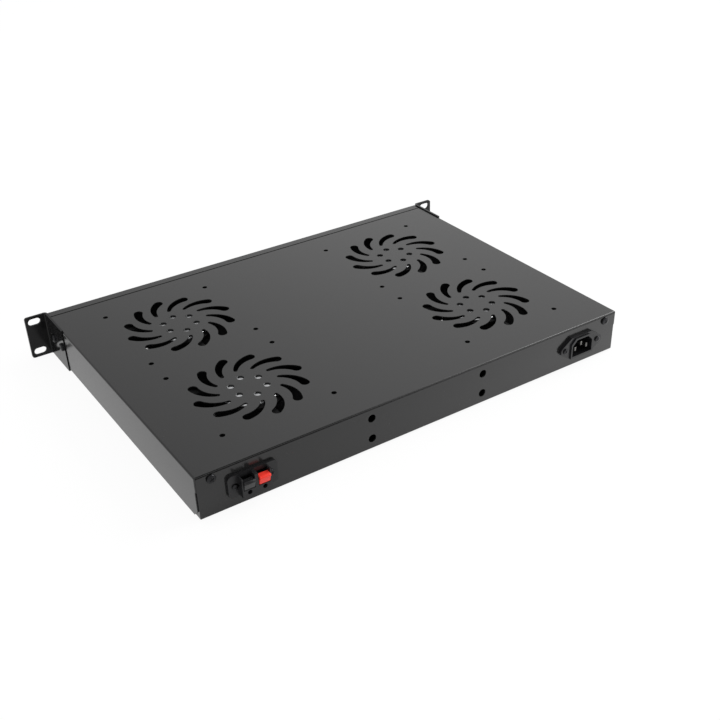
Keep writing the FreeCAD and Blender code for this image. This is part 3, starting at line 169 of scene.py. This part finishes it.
def powder_coat(name, colour, gloss, haze, specular=0.5):
    """Smooth black powder coat: a faint orange peel, uneven gloss, and a few pale dust specks."""
    dust, dust_share, grit_share, peel_height = (0.16, 0.16, 0.16), 0.12, 0.15, 0.012 * MM
    coat = Finish(name, colour, gloss, Specular_IOR_Level=specular)
    cloud = coat.noise(7.0, detail=3.0)
    peel = coat.noise(420.0, detail=1.0)
    grit = coat.noise(2600.0, detail=2.0)
    speck = coat.between(coat.noise(640.0, detail=0.0), 0.84, 0.88)
    coat.set("Base Color", coat.mixed(speck * dust_share, colour, dust))
    coat.set("Roughness", gloss + (haze - gloss) * cloud + 0.05 * grit)
    coat.relief(peel * (1 - grit_share) + grit * grit_share, peel_height)
    return coat.material


def plated(name, colour, roughness, grain):
    """Plated or bare metal with fine scratches of one direction, grain of them to the metre."""
    stain, scratch_depth = tuple(0.82 * channel for channel in colour), 0.01 * MM
    metal = Finish(name, colour, roughness, Metallic=1.0)
    lines = metal.noise(grain, detail=3.0, stretch=(1.0, 12.0, 1.0))
    blot = metal.noise(140.0)
    metal.set("Roughness", roughness - 0.08 + 0.12 * lines + 0.08 * blot)
    metal.set("Base Color", metal.mixed(blot, colour, stain))
    metal.relief(lines, scratch_depth)
    return metal.material


def moulded(name, colour, roughness, grain_depth, tint=1.25, specular=0.5):
    """Moulded plastic: a fine spark-eroded grain and a slight change of tone over a few millimetres."""
    paler = tuple(min(1.0, tint * channel) for channel in colour)
    plastic = Finish(name, colour, roughness, Specular_IOR_Level=specular)
    flow = plastic.noise(60.0, detail=2.0)
    grain = plastic.noise(2600.0, detail=2.0)
    plastic.set("Base Color", plastic.mixed(flow, colour, paler))
    plastic.set("Roughness", roughness - 0.05 + 0.10 * flow + 0.05 * grain)
    plastic.relief(grain, grain_depth)
    return plastic.material


def cast_black(name):
    """Painted die-cast metal: coarser skin than moulded plastic."""
    cast = Finish(name, (0.006, 0.006, 0.0062), 0.5, Specular_IOR_Level=0.06)
    skin = cast.noise(700.0, detail=4.0, roughness=0.6)
    cast.set("Roughness", 0.42 + 0.2 * skin)
    cast.relief(skin, 0.05 * MM)
    return cast.material


FINISHES = {
    "tray_paint": powder_coat("tray powder coat", (0.013, 0.013, 0.0132), gloss=0.10, haze=0.20),
    # The ears' coat is a darker copy of the tray's with weak specular: painted shade for the ears,
    # whose rear faces lie in shade.
    "ear_paint": powder_coat("ear powder coat", (0.010, 0.010, 0.0102), gloss=0.06, haze=0.13,
                             specular=0.20),
    "black_screw": plated("black zinc", (0.036, 0.036, 0.038), 0.26, grain=900.0),
    "plain_steel": plated("bright zinc", (0.62, 0.62, 0.64), 0.30, grain=700.0),
    "fan_casting": cast_black("black die casting"),
    "fan_impeller": moulded("impeller plastic", (0.010, 0.010, 0.0105), 0.42, 0.02 * MM, specular=0.12),
    "bearing_bronze": plated("sintered bronze", (0.50, 0.33, 0.16), 0.42, grain=1500.0),
    "hub_foil": plated("silver foil", (0.62, 0.63, 0.64), 0.22, grain=500.0),
    "inlet_plastic": moulded("inlet plastic", (0.010, 0.010, 0.011), 0.26, 0.010 * MM, specular=0.36),
    # Nickel plate far darker than bright nickel: painted shade for the inlet's pins, deep in its
    # socket.
    "contact_metal": plated("nickel plate", (0.15, 0.147, 0.14), 0.42, grain=900.0),
    "terminal_plastic": moulded("terminal plastic", (0.010, 0.010, 0.011), 0.36, 0.015 * MM,
                                specular=0.4),
    "lever_red": moulded("red lever plastic", (0.80, 0.040, 0.026), 0.26, 0.008 * MM, specular=0.3),
    "lever_black": moulded("black lever plastic", (0.012, 0.012, 0.013), 0.24, 0.008 * MM),
    "control_plastic": moulded("controller plastic", (0.020, 0.020, 0.021), 0.45, 0.02 * MM),
    "display_window": moulded("smoked filter", (0.020, 0.006, 0.007), 0.12, 0.001 * MM),
    "key_plastic": moulded("key plastic", (0.19, 0.19, 0.20), 0.42, 0.01 * MM),
    "switch_plastic": moulded("switch plastic", (0.018, 0.018, 0.019), 0.40, 0.015 * MM),
    "rocker_plastic": moulded("rocker plastic", (0.020, 0.020, 0.021), 0.24, 0.006 * MM),
}
EXTRA_FINISHES = {
    "white_mark": moulded("printed mark", (0.72, 0.72, 0.70), 0.5, 0.004 * MM, tint=1.05),
    "unlit_segment": moulded("unlit segment", (0.060, 0.018, 0.016), 0.35, 0.002 * MM),
}
for row in frame["record"]["subparts"]:
    for held in frame["nodes"][row["node"]].material_slots:
        held.material = FINISHES[row["material_slot"]]


# ---------------------------------------------------------------- surfaces

def grid_faces(rows, columns, start, around):
    """Quads of a grid of points numbered row by row from start, closed across the columns if around."""
    index = start + np.arange(rows * columns).reshape(rows, columns)
    if around:
        index = np.hstack([index, index[:, :1]])
    corners = [index[:-1, :-1], index[:-1, 1:], index[1:, 1:], index[1:, :-1]]
    return np.stack(corners, axis=-1).reshape(-1, 4)


def piece(name, surfaces, finish, body):
    """One object from (points, around) surfaces, welded where they meet, riding on a body."""
    points, faces, count = [], [], 0
    for surface, around in surfaces:
        rows, columns, _ = surface.shape
        points.append(surface.reshape(-1, 3))
        faces.append(grid_faces(rows, columns, count, around))
        count += rows * columns
    mesh = bpy.data.meshes.new(name)
    mesh.from_pydata(np.concatenate(points).tolist(), [], np.concatenate(faces).tolist())
    work = bmesh.new()
    work.from_mesh(mesh)
    bmesh.ops.remove_doubles(work, verts=work.verts, dist=WELD_DISTANCE)
    bmesh.ops.recalc_face_normals(work, faces=work.faces)
    work.to_mesh(mesh)
    work.free()
    mesh.shade_smooth()
    mesh.set_sharp_from_angle(angle=SHARP_EDGE)
    mesh.materials.append(finish)
    made = bpy.data.objects.new(name, mesh)
    bpy.context.scene.collection.objects.link(made)
    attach(made, body)
    return made


def frame_of(axis, turn=0.0):
    """A right-handed frame whose third row is the axis, turned about it."""
    axis = np.array(axis, float)
    side = np.cross(axis, (0.31, 0.17, 0.93) if abs(axis[2]) < 0.9 else (1.0, 0.0, 0.0))
    side /= np.linalg.norm(side)
    other = np.cross(axis, side)
    return np.array([math.cos(turn) * side + math.sin(turn) * other,
                     math.cos(turn) * other - math.sin(turn) * side, axis])


def solid_boxes(node):
    """The (lowest, highest) corners of a node's separate solids, in order of their places."""
    mesh = frame["nodes"][node].data
    spots, edges = np.empty(3 * len(mesh.vertices)), np.empty(2 * len(mesh.edges), int)
    mesh.vertices.foreach_get("co", spots)
    mesh.edges.foreach_get("vertices", edges)
    spots = spots.reshape(-1, 3)
    _, merged = np.unique(np.round(spots, 7), axis=0, return_inverse=True)
    first, second = merged.reshape(-1)[edges.reshape(-1, 2)].T
    label = np.arange(merged.max() + 1)
    while True:
        lowest = np.minimum(label[first], label[second])
        after = label.copy()
        np.minimum.at(after, first, lowest)
        np.minimum.at(after, second, lowest)
        if (after == label).all():
            break
        label = after
    owner = label[merged.reshape(-1)]
    boxes = [(spots[owner == one].min(0), spots[owner == one].max(0)) for one in np.unique(owner)]
    return sorted(boxes, key=lambda box: tuple(np.round(box[0], 5)))


# ---------------------------------------------------------------- screws

# head depth, shank diameter and thread pitch
SCREWS = {
    "case": (2.4 * MM, 3.8 * MM, 0.7 * MM),
    "small": (1.6 * MM, 2.85 * MM, 0.5 * MM),
    "fan": (1.5 * MM, 3.8 * MM, 0.8 * MM),
}
# the cross recess, as shares of the flat top's radius and of the head's depth
BAR_HALF_WIDTH, BAR_REACH, BAR_SLOPE_ACROSS, BAR_SLOPE_ALONG = 0.10, 0.60, 1.35, 1.12
RECESS_DEPTH, RECESS_RISE = 0.55, 0.45
# the head and thread, as shares of the head's depth and of the shank's diameter
SHOULDER_WIDTH, SHOULDER_DROP, CROWN, THREAD_DEPTH = 0.45, 0.62, 0.16, 0.06
# an eighth of the shank at each end has a thread that fades away
THREAD_ENDS = 8


def screw_surfaces(head, depth, shank, length, pitch):
    """A pan-head cross-recess screw, its seat at height zero.

    The top is z(a, b) over a square stretched to a disc: a crown that falls with the square of the
    distance from the axis, less the recess where one of a, b is within the bar's half width and the
    other within its reach. The flank is r(v), z(v) turned through the angles of the top's rim: the
    rounded shoulder, the seat, and a shank whose radius waves once each pitch and turn.
    """
    half, rim, crown = head / 2, head / 2 - SHOULDER_WIDTH * depth, CROWN * depth
    right = np.array([BAR_HALF_WIDTH / 2, BAR_HALF_WIDTH, BAR_HALF_WIDTH * BAR_SLOPE_ACROSS, 0.36,
                      BAR_REACH, BAR_REACH * BAR_SLOPE_ALONG, 0.82, 1.0])
    lines = np.concatenate([-right[::-1], [0.0], right])
    a, b = np.meshgrid(lines, lines, indexing="ij")
    x, y = rim * a * np.sqrt(1 - b * b / 2), rim * b * np.sqrt(1 - a * a / 2)
    bar_a = (abs(a) <= BAR_HALF_WIDTH) & (abs(b) <= BAR_REACH)
    bar_b = (abs(b) <= BAR_HALF_WIDTH) & (abs(a) <= BAR_REACH)
    sunk = np.where(bar_a | bar_b, 1.0 - RECESS_RISE * np.maximum(abs(a), abs(b)) / BAR_REACH, 0.0)
    z = depth - crown * (x * x + y * y) / rim ** 2 - RECESS_DEPTH * depth * sunk
    top = np.stack([x, y, z], axis=-1)
    border = np.concatenate([top[:-1, -1], top[-1, :0:-1], top[:0:-1, 0], top[0, :-1]])[::-1]
    ring = border[:, :2] / rim
    bend = np.linspace(0, 1, 7)[:, None] * math.pi / 2
    shoulder_r = rim + (half - rim) * np.sin(bend)
    shoulder_z = (depth - crown) * (1 - SHOULDER_DROP * (1 - np.cos(bend)))
    along = np.linspace(0, 1, int(4 * length / pitch))[:, None]
    angle = np.arctan2(ring[:, 1], ring[:, 0])[None, :]
    wave = np.cos(FULL_TURN * along * length / pitch - angle)
    fade = np.clip(along * THREAD_ENDS, 0, 1) * np.clip((1 - along) * THREAD_ENDS, 0, 1)
    thread_r = shank / 2 - THREAD_DEPTH * shank * fade * (1 - wave) / 2
    flank_r = np.concatenate([np.broadcast_to(shoulder_r, (len(bend), len(ring))),
                              np.full((1, len(ring)), half), thread_r, np.zeros((1, len(ring)))])
    flank_z = np.concatenate([shoulder_z, [[0.0]], -length * along, [[-length]]])
    flank = np.stack([flank_r * ring[:, 0], flank_r * ring[:, 1],
                      np.broadcast_to(flank_z, flank_r.shape)], axis=-1)
    return [(top, False), (flank, True)]


def screws(node, kind, outward):
    """One piece of detailed screws in place of a node's plain ones; outward gives each head's axis."""
    depth, shank, pitch = SCREWS[kind]
    surfaces = []
    for index, (low, high) in enumerate(solid_boxes(node)):
        axis = np.array(outward(low + high), float)
        centre, extent = (low + high) / 2, high - low
        length = abs(extent @ axis) - depth
        head = sorted(extent - abs(axis) * extent)[-1]
        seat = centre + axis * (abs(extent @ axis) / 2 - depth)
        turned = frame_of(axis, 1.3 * index + 0.4)
        for surface, around in screw_surfaces(head, depth, shank, length, pitch):
            surfaces.append((seat + surface @ turned, around))
    made = piece(f"detailed_{node}", surfaces, FINISHES["black_screw"], "tray")
    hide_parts(node)


def all_screws():
    screws("ear_bracket_screws", "case", lambda spot: (np.sign(spot[0]), 0, 0))
    screws("rear_cover_screws", "case", lambda spot: (0, 1, 0))
    screws("mains_inlet_screws", "small", lambda spot: (0, 1, 0))
    screws("spring_terminal_screws", "small", lambda spot: (0, 1, 0))
    screws("fan_mounting_screws", "fan", lambda spot: (0, 0, -1))


# ---------------------------------------------------------------- levers, rocker and keys

ROCKER_TILT = math.radians(8)
ROCKER_HALF, ROCKER_TALL, ROCKER_SEAT = 10.9 * MM, 13.2 * MM, 3.4 * MM
ROCKER_CREST, ROCKER_CREST_INSET, ROCKER_VALLEY, ROCKER_FOOT = 6.4 * MM, 0.4 * MM, 5.0 * MM, 6.54 * MM
PIN_RADIUS, PIN_BITE = 1.0 * MM, 1.0 * MM


def rounded_prism(outline, length, corner, edge):
    """A closed bar with rounded edges, centred on the plane its outline is drawn in.

    Each corner of the outline becomes an arc between the normals of its two sides. Point (k, n) is the
    n-th point of that rounded outline, drawn in along its normal as a quarter circle wants while the
    k-th section nears either end; the first and last rows are the middle of the outline.
    """
    outline = np.asarray(outline, float)
    ahead = np.roll(outline, -1, axis=0) - outline
    ahead /= np.linalg.norm(ahead, axis=1, keepdims=True)
    normal = np.stack([ahead[:, 1], -ahead[:, 0]], axis=1)
    before = np.roll(normal, 1, axis=0)
    turn = np.sign(before[:, 0] * normal[:, 1] - before[:, 1] * normal[:, 0])[:, None]
    centre = outline - turn * corner * (before + normal) / (1 + (before * normal).sum(1, keepdims=True))
    share = np.linspace(0, 1, 6)[None, :, None]
    facing = before[:, None] * (1 - share) + normal[:, None] * share
    facing /= np.linalg.norm(facing, axis=2, keepdims=True)
    rim = (centre[:, None] + (turn * corner)[:, None] * facing).reshape(-1, 2)
    swing = np.linspace(0, math.pi / 2, 5)
    inset = edge * (1 - np.sin(swing))
    rise = length / 2 - edge * (1 - np.cos(swing))
    inset, along = np.concatenate([inset, inset[::-1]]), np.concatenate([-rise, rise[::-1]])
    sections = rim[None] - inset[:, None, None] * facing.reshape(-1, 2)[None]
    rows = np.concatenate([np.broadcast_to(rim.mean(0), (1,) + rim.shape), sections,
                           np.broadcast_to(rim.mean(0), (1,) + rim.shape)])
    along = np.concatenate([along[:1], along, along[-1:]])
    heights = np.broadcast_to(along[:, None, None], rows.shape[:2] + (1,))
    return np.concatenate([rows, heights], axis=-1), True


def turned_bar(radius, length):
    """A closed round bar, chamfered: angle u round ring k, which shrinks to the middle at both ends."""
    chamfer = 0.1
    u = np.linspace(0, FULL_TURN, 25)[None, :-1]
    radii = radius * np.array([0.0, 1 - chamfer, 1.0, 1.0, 1 - chamfer, 0.0])[:, None]
    end, shoulder = length / 2, length / 2 - chamfer * radius
    along = np.array([-end, -end, -shoulder, shoulder, end, end])[:, None]
    return np.stack([radii * np.cos(u), radii * np.sin(u), along + 0 * u], axis=-1), True


def terminal_levers():
    """The two push levers: a slanted front under a rounded lip, a sloped shoulder, and a pivot pin."""
    slope, toe, lowered = 2.0 * MM, 2.4 * MM, 0.9 * MM
    lip, undercut, brow = 2.2 * MM, 0.9 * MM, 1.5 * MM
    corner, edge = 0.3 * MM, 0.45 * MM
    across_y_z = np.array([(0, 1, 0), (0, 0, 1), (1, 0, 0)])
    for colour in ("red", "black"):
        low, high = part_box(f"spring_terminal_lever_{colour}")
        width, middle = high[0] - low[0] - 2 * PIN_BITE, (low[0] + high[0]) / 2
        near, far, bottom, top = low[1], high[1], low[2], high[2] - lowered
        outline = [(near, bottom), (far - toe, bottom), (far - undercut, top - lip), (far, top - lip),
                   (far, top - brow), (far - 0.3 * brow, top - 0.3 * brow), (far - brow, top),
                   (near + slope, top), (near, top - slope)]
        drawn, around = rounded_prism(outline, width, corner, edge)
        joint = joint_of(f"lever_{colour}")
        pin, _ = turned_bar(PIN_RADIUS, width + 2 * PIN_BITE)
        surfaces = [(drawn @ across_y_z + (middle, 0, 0), around),
                    (pin @ across_y_z + (middle, *joint["pos_m"][1:]), True)]
        made = piece(f"lever_{colour}", surfaces, FINISHES[f"lever_{colour}"], f"lever_{colour}")
        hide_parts(f"spring_terminal_lever_{colour}")


def joint_of(body):
    return next(one for one in frame["record"]["behaviour"]["joints"] if one["child"] == body)


def rocker():
    """The rocker: a shallow valley between two crests over a foot that narrows inwards, on its pin."""
    corner, edge = 0.6 * MM, 0.5 * MM
    peak = ROCKER_HALF - ROCKER_CREST_INSET
    outline = [(-ROCKER_HALF, -ROCKER_SEAT), (-peak, -ROCKER_CREST), (0, -ROCKER_VALLEY),
               (peak, -ROCKER_CREST), (ROCKER_HALF, -ROCKER_SEAT),
               (ROCKER_FOOT, ROCKER_SEAT), (-ROCKER_FOOT, ROCKER_SEAT)]
    drawn, around = rounded_prism(outline, ROCKER_TALL, corner, edge)
    pin, _ = turned_bar(PIN_RADIUS, ROCKER_TALL + 2 * PIN_BITE)
    c, s = math.cos(ROCKER_TILT), math.sin(ROCKER_TILT)
    turned = np.array([(c, s, 0), (-s, c, 0), (0, 0, 1)])
    pivot = joint_of("rocker")["pos_m"]
    surfaces = [(drawn @ turned + pivot, around), (pin + pivot, True)]
    made = piece("rocker_paddle", surfaces, FINISHES["rocker_plastic"], "rocker")
    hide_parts("mains_switch_rocker")


def key_caps():
    """Four keys with rounded corners and softened fronts."""
    corner, edge = 0.8 * MM, 0.35 * MM
    for name in KEYS:
        low, high = (np.array(place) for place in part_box(f"thermostat_key_{name}"))
        middle, size = (low + high) / 2, high - low
        half_x, half_z = size[0] / 2, size[2] / 2
        outline = [(-half_x, -half_z), (half_x, -half_z), (half_x, half_z), (-half_x, half_z)]
        cap = on_front(rounded_prism(outline, size[1], corner, edge), middle)
        made = piece(f"key_cap_{name}", [cap], FINISHES["key_plastic"], f"key_{name}")
        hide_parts(f"thermostat_key_{name}")


# ---------------------------------------------------------------- foils on the fan hubs

FOIL_RISE = {"front_left": 1.0 * MM, "front_right": 1.25 * MM, "rear_left": 1.05 * MM,
             "rear_right": 1.45 * MM}


def hub_foils():
    """The foil discs, close under the cover and not quite flat.

    Point (k, u) is at the k-th share of the radius and at angle u. The face falls off at the rim with a
    high power of that share and waves three times round by up to a fortieth of a millimetre; the rim
    then drops to the flat back.
    """
    waviness, waves, turn_between_fans, rim_power = 0.1 * MM, 3, 1.7, 60
    face = np.array([0.0, 0.2, 0.4, 0.55, 0.7, 0.8, 0.88, 0.93, 0.96, 0.98, 1.0])
    share = np.concatenate([face, [1.0, 0.0]])[:, None]
    u = np.linspace(0, FULL_TURN, 49)[None, :-1]
    for index, (fan, rise) in enumerate(FOIL_RISE.items()):
        low, high = (np.array(corner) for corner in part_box(f"fan_hub_disc_{fan}"))
        middle, radius = (low + high) / 2, (high[0] - low[0]) / 2
        wave = waviness * (share - share ** 2) * np.sin(waves * u + turn_between_fans * index)
        height = high[2] + rise * (1 - share ** rim_power) + wave
        height[len(face):] = low[2]
        disc = np.stack([middle[0] + radius * share * np.cos(u),
                         middle[1] + radius * share * np.sin(u), height], axis=-1)
        made = piece(f"hub_foil_{fan}", [(disc, True)], FINISHES["hub_foil"], "tray")
        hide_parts(f"fan_hub_disc_{fan}")


# ---------------------------------------------------------------- marks on the front

def boss(outline, height):
    """A low closed boss over a star-shaped outline.

    Point (k, n) is the n-th point of the outline scaled by the k-th share, at the k-th level: the
    middle of the foot, the foot's edge, up the wall, over a narrow shoulder and in to the middle of
    the top.
    """
    shares = np.array([0.0, 1.0, 1.0, 0.93, 0.0])[:, None]
    levels = np.array([0.0, 0.0, 0.7, 1.0, 1.0])[:, None] * height
    return np.stack([shares * outline[:, 0], shares * outline[:, 1],
                     np.broadcast_to(levels, (len(levels), len(outline)))], axis=-1), True


def ring_boss(radius, width, height, gap=0.0):
    """A low ring: angle u round the middle, left open over the gap, and v round its section.

    Only the section at the first angle has a cap. The other end of an open ring has no face, and a full
    ring keeps the cap inside it, where its ends meet.
    """
    u = np.linspace(gap / 2, FULL_TURN - gap / 2, 40)[:, None] + math.pi / 2
    across = np.array([-1.0, -0.85, 0.85, 1.0, 1.0, -1.0])[None, :] * width / 2
    level = np.array([0.7, 1.0, 1.0, 0.7, 0.0, 0.0])[None, :] * height
    radii, levels = radius + across + 0 * u, level + 0 * u
    wall = np.stack([radii * np.cos(u), radii * np.sin(u), levels], axis=-1)
    first = u[:1]
    middle = np.stack([radius * np.cos(first), radius * np.sin(first), 0 * first + height / 2], axis=-1)
    cap = np.repeat(middle, wall.shape[1], axis=1)
    return np.concatenate([cap, wall]), True


def on_front(surface, place, tilt=0.0):
    """A surface drawn in x and y with its height in z, stood upright on the front and facing -Y."""
    drawn, around = surface
    c, s = math.cos(tilt), math.sin(tilt)
    rows = np.array([(c, s, 0), (0, 0, 1), (s, -c, 0)])
    return np.array(place) + drawn @ rows, around


def bar(length, width):
    """Half-pointed bar, as a display segment has."""
    end, half = length / 2, width / 2
    tip = end - half
    return np.array([(end, 0), (tip, half), (-tip, half), (-end, 0), (-tip, -half), (tip, -half)])


def oblong(width, tall):
    """The four corners of an upright oblong about the middle."""
    return np.array([(-0.5, -0.5), (0.5, -0.5), (0.5, 0.5), (-0.5, 0.5)]) * (width, tall)


def display_segments():
    """Three unlit seven-segment digits with their points, just proud of the smoked window."""
    low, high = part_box("thermostat_window")
    face, across = low[1], (low[0] + high[0]) / 2
    pitch, width, tall, stroke, gap = 11.0 * MM, 5.6 * MM, 5.4 * MM, 1.15 * MM, 0.3 * MM
    dot_radius, dot_offset = 0.65 * MM, 2.1 * MM
    turn = np.linspace(0, FULL_TURN, 17)[:-1]
    upright = boss(bar(tall - gap, stroke)[:, ::-1], MARK_THICKNESS)
    flat = boss(bar(width - gap, stroke), MARK_THICKNESS)
    dot = boss(dot_radius * np.stack([np.cos(turn), np.sin(turn)], axis=-1), MARK_THICKNESS)
    surfaces = []
    for digit in (-1, 0, 1):
        x = across + digit * pitch
        for level in (-1, 0, 1):
            surfaces.append(on_front(flat, (x, face, level * tall)))
        for side in (-0.5, 0.5):
            for level in (-0.5, 0.5):
                surfaces.append(on_front(upright, (x + side * width, face, level * tall)))
        surfaces.append(on_front(dot, (x + width / 2 + dot_offset, face, -tall)))
    piece("display_segments", surfaces, EXTRA_FINISHES["unlit_segment"], "tray")


def key_marks():
    """A triangle up, a ring, a triangle down, and the usual open ring with a bar for on and off."""
    triangle = 1.5 * MM * np.array([(-1.0, -0.6), (1.0, -0.6), (0.0, 0.9)])
    stem = oblong(0.38 * MM, 1.5 * MM)
    ring = ring_boss(1.15 * MM, 0.38 * MM, MARK_THICKNESS)
    open_ring = ring_boss(1.25 * MM, 0.36 * MM, MARK_THICKNESS, gap=1.3)
    marks = {
        "up": [(boss(triangle, MARK_THICKNESS), 0.0)],
        "set": [(ring, 0.0)],
        "down": [(boss(-triangle, MARK_THICKNESS), 0.0)],
        "power": [(open_ring, 0.0), (boss(stem, MARK_THICKNESS), 1.15 * MM)],
    }
    for name, drawn in marks.items():
        low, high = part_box(f"thermostat_key_{name}")
        x, z = (low[0] + high[0]) / 2, (low[2] + high[2]) / 2
        surfaces = [on_front(surface, (x, low[1], z + lift)) for surface, lift in drawn]
        piece(f"key_mark_{name}", surfaces, EXTRA_FINISHES["white_mark"], f"key_{name}")


def rocker_marks():
    """A bar on one slope of the rocker and a ring on the other, for on and off."""
    pivot = np.array(joint_of("rocker")["pos_m"])
    run, rise, out = ROCKER_HALF - ROCKER_CREST_INSET, ROCKER_CREST - ROCKER_VALLEY, 0.55
    slope = math.atan2(rise, run)
    stem = boss(oblong(0.8 * MM, 4.4 * MM), MARK_THICKNESS)
    ring = ring_boss(2.0 * MM, 0.7 * MM, MARK_THICKNESS)
    c, s = math.cos(ROCKER_TILT), math.sin(ROCKER_TILT)
    surfaces = []
    for side, surface in ((-1, stem), (1, ring)):
        x, y = side * run * out, -(ROCKER_VALLEY + rise * out)
        turned = np.array([c * x - s * y, s * x + c * y, 0.0])
        surfaces.append(on_front(surface, pivot + turned, ROCKER_TILT - side * slope))
    piece("rocker_marks", surfaces, EXTRA_FINISHES["white_mark"], "rocker")


# ---------------------------------------------------------------- floor, light and camera

def floor():
    """A pale floor out to the horizon, under the lowest point; the camera sees most of it as white.

    Seen by glossy rays it glows unevenly, painting reflections and shade into the polished walls:
    brighter towards -X and close to the rear wall, a paler field beside the tray that ends in a darker
    one, and dark far behind at the middle.
    """
    reach, case_side = 9.0, 0.2205
    low = cad_box[0].z
    corners = [(reach * x, reach * y, low) for x, y in ((-1, -1), (1, -1), (1, 1), (-1, 1))]
    mesh = bpy.data.meshes.new("floor")
    mesh.from_pydata(corners, [], [(0, 1, 2, 3)])
    plane = bpy.data.objects.new("floor", mesh)
    bpy.context.scene.collection.objects.link(plane)
    paint = Finish("floor paint", (0.86, 0.86, 0.86), 0.9)
    camera_ray, glossy_ray = paint.ray("Camera"), paint.ray("Glossy")
    across, back, _ = paint.parts(paint.place)
    # Painted reflection and painted shade, for glossy rays only: a paler field mirrored beside the
    # tray, then a darker one past it.
    beside = paint.between(across, case_side - MM, case_side + MM)
    beside_painted_reflection = beside * 0.46 - paint.between(across, 0.224, 0.240, 0.0, 0.14)
    # Painted reflection, brighter towards -X and close to the rear wall, and painted shade far behind
    # at the middle.
    near = paint.between(back, 0.325, 0.375, 0.16, 0.0) * (1.0 - beside)
    far = paint.between(back, 0.40, 0.58) * paint.between(across, -0.25, -0.02)
    behind_painted_reflection = paint.between(across, -0.30, 0.22, 1.88, 0.76) * (1.0 + near)
    mirrored = (behind_painted_reflection + beside_painted_reflection) * (1.0 - far * 0.9)
    glow = (camera_ray * 1.03).most(mirrored * glossy_ray)
    white = paint.node("Emission", None, {"Color": (1, 1, 1, 1), "Strength": glow})
    share = (camera_ray * 0.9).most(glossy_ray * 0.5)
    blend = paint.node("MixShader", None, {0: share}).socket
    paint.tree.links.new(paint.shader.outputs[0], blend.node.inputs[1])
    paint.tree.links.new(white.socket, blend.node.inputs[2])
    paint.tree.links.new(blend, paint.tree.nodes["Material Output"].inputs["Surface"])
    mesh.materials.append(paint.material)


def sky():
    """An even pale surround, white to the camera, and less even where the tray mirrors it.

    The wall, brighter towards -X, is what the cover mirrors for an eye behind the tray. Behind covers
    the other directions above the floor: dark overhead, paler near the middle, and with a bright
    window high at -X, which the cover's rounded rear edge mirrors.
    """
    even_light = 0.75
    world = bpy.data.worlds.new("surround")
    bpy.context.scene.world = world
    world.use_nodes = True
    room = Nodes(world.node_tree)
    background = room.tree.nodes["Background"]
    x, y, z = room.parts(room.node("TexCoord", output="Generated"))
    wall = room.between(-x, 0.10, 0.60, 0.56, 1.02)
    window = room.between(-x, 0.40, 0.62) * room.between(z, 0.46, 0.66, 0.9, 4.2)
    overhead = room.between(-x, 0.05, 0.24, 0.7, 0.0) + window
    behind = room.between(y, -0.45, -0.10) * room.between(z, -0.02, 0.12)
    mirrored = wall * (1.0 - behind) + overhead * behind
    glossy = room.ray("Glossy")
    seen = room.ray("Camera").most(room.ray("Transmission"))
    strength = glossy * mirrored + seen + (1.0 - glossy.most(seen)) * even_light
    background.inputs["Color"].default_value = (1, 1, 1, 1)
    room.feed(background.inputs["Strength"], strength)


def lamp(name, place, aim, size, watts):
    """A square soft lamp at a place, pointing at another."""
    data = bpy.data.lights.new(name, "AREA")
    data.size, data.energy = size, watts
    made = bpy.data.objects.new(name, data)
    made.location = place
    made.rotation_mode = "QUATERNION"
    made.rotation_quaternion = (Vector(aim) - Vector(place)).to_track_quat("-Z", "Y")
    bpy.context.scene.collection.objects.link(made)


def camera():
    """The camera behind and above the tray, looking down at the rear wall and the cover."""
    eye, aim = Vector((0.45044, 0.91422, 0.49604)), Vector((0.02231, 0.27925, 0.0))
    roll = math.radians(-1.2555)
    data = bpy.data.cameras.new("camera")
    data.sensor_width, data.lens = 36.0, 52.169
    data.shift_x, data.shift_y = -0.02898, 0.04585
    data.clip_start, data.clip_end = 0.01, 60.0
    made = bpy.data.objects.new("camera", data)
    made.location = eye
    made.rotation_mode = "QUATERNION"
    made.rotation_quaternion = (aim - eye).to_track_quat("-Z", "Y") @ Quaternion((0, 0, 1), roll)
    bpy.context.scene.collection.objects.link(made)
    bpy.context.scene.camera = made


all_screws()
terminal_levers()
rocker()
key_caps()
hub_foils()
display_segments()
key_marks()
rocker_marks()
floor()
sky()
lamp("window_side", place=(-2.0, 0.6, 1.5), aim=(0, 0.15, 0), size=1.3, watts=30.0)
camera()
bpy.context.scene.view_settings.view_transform = "Standard"
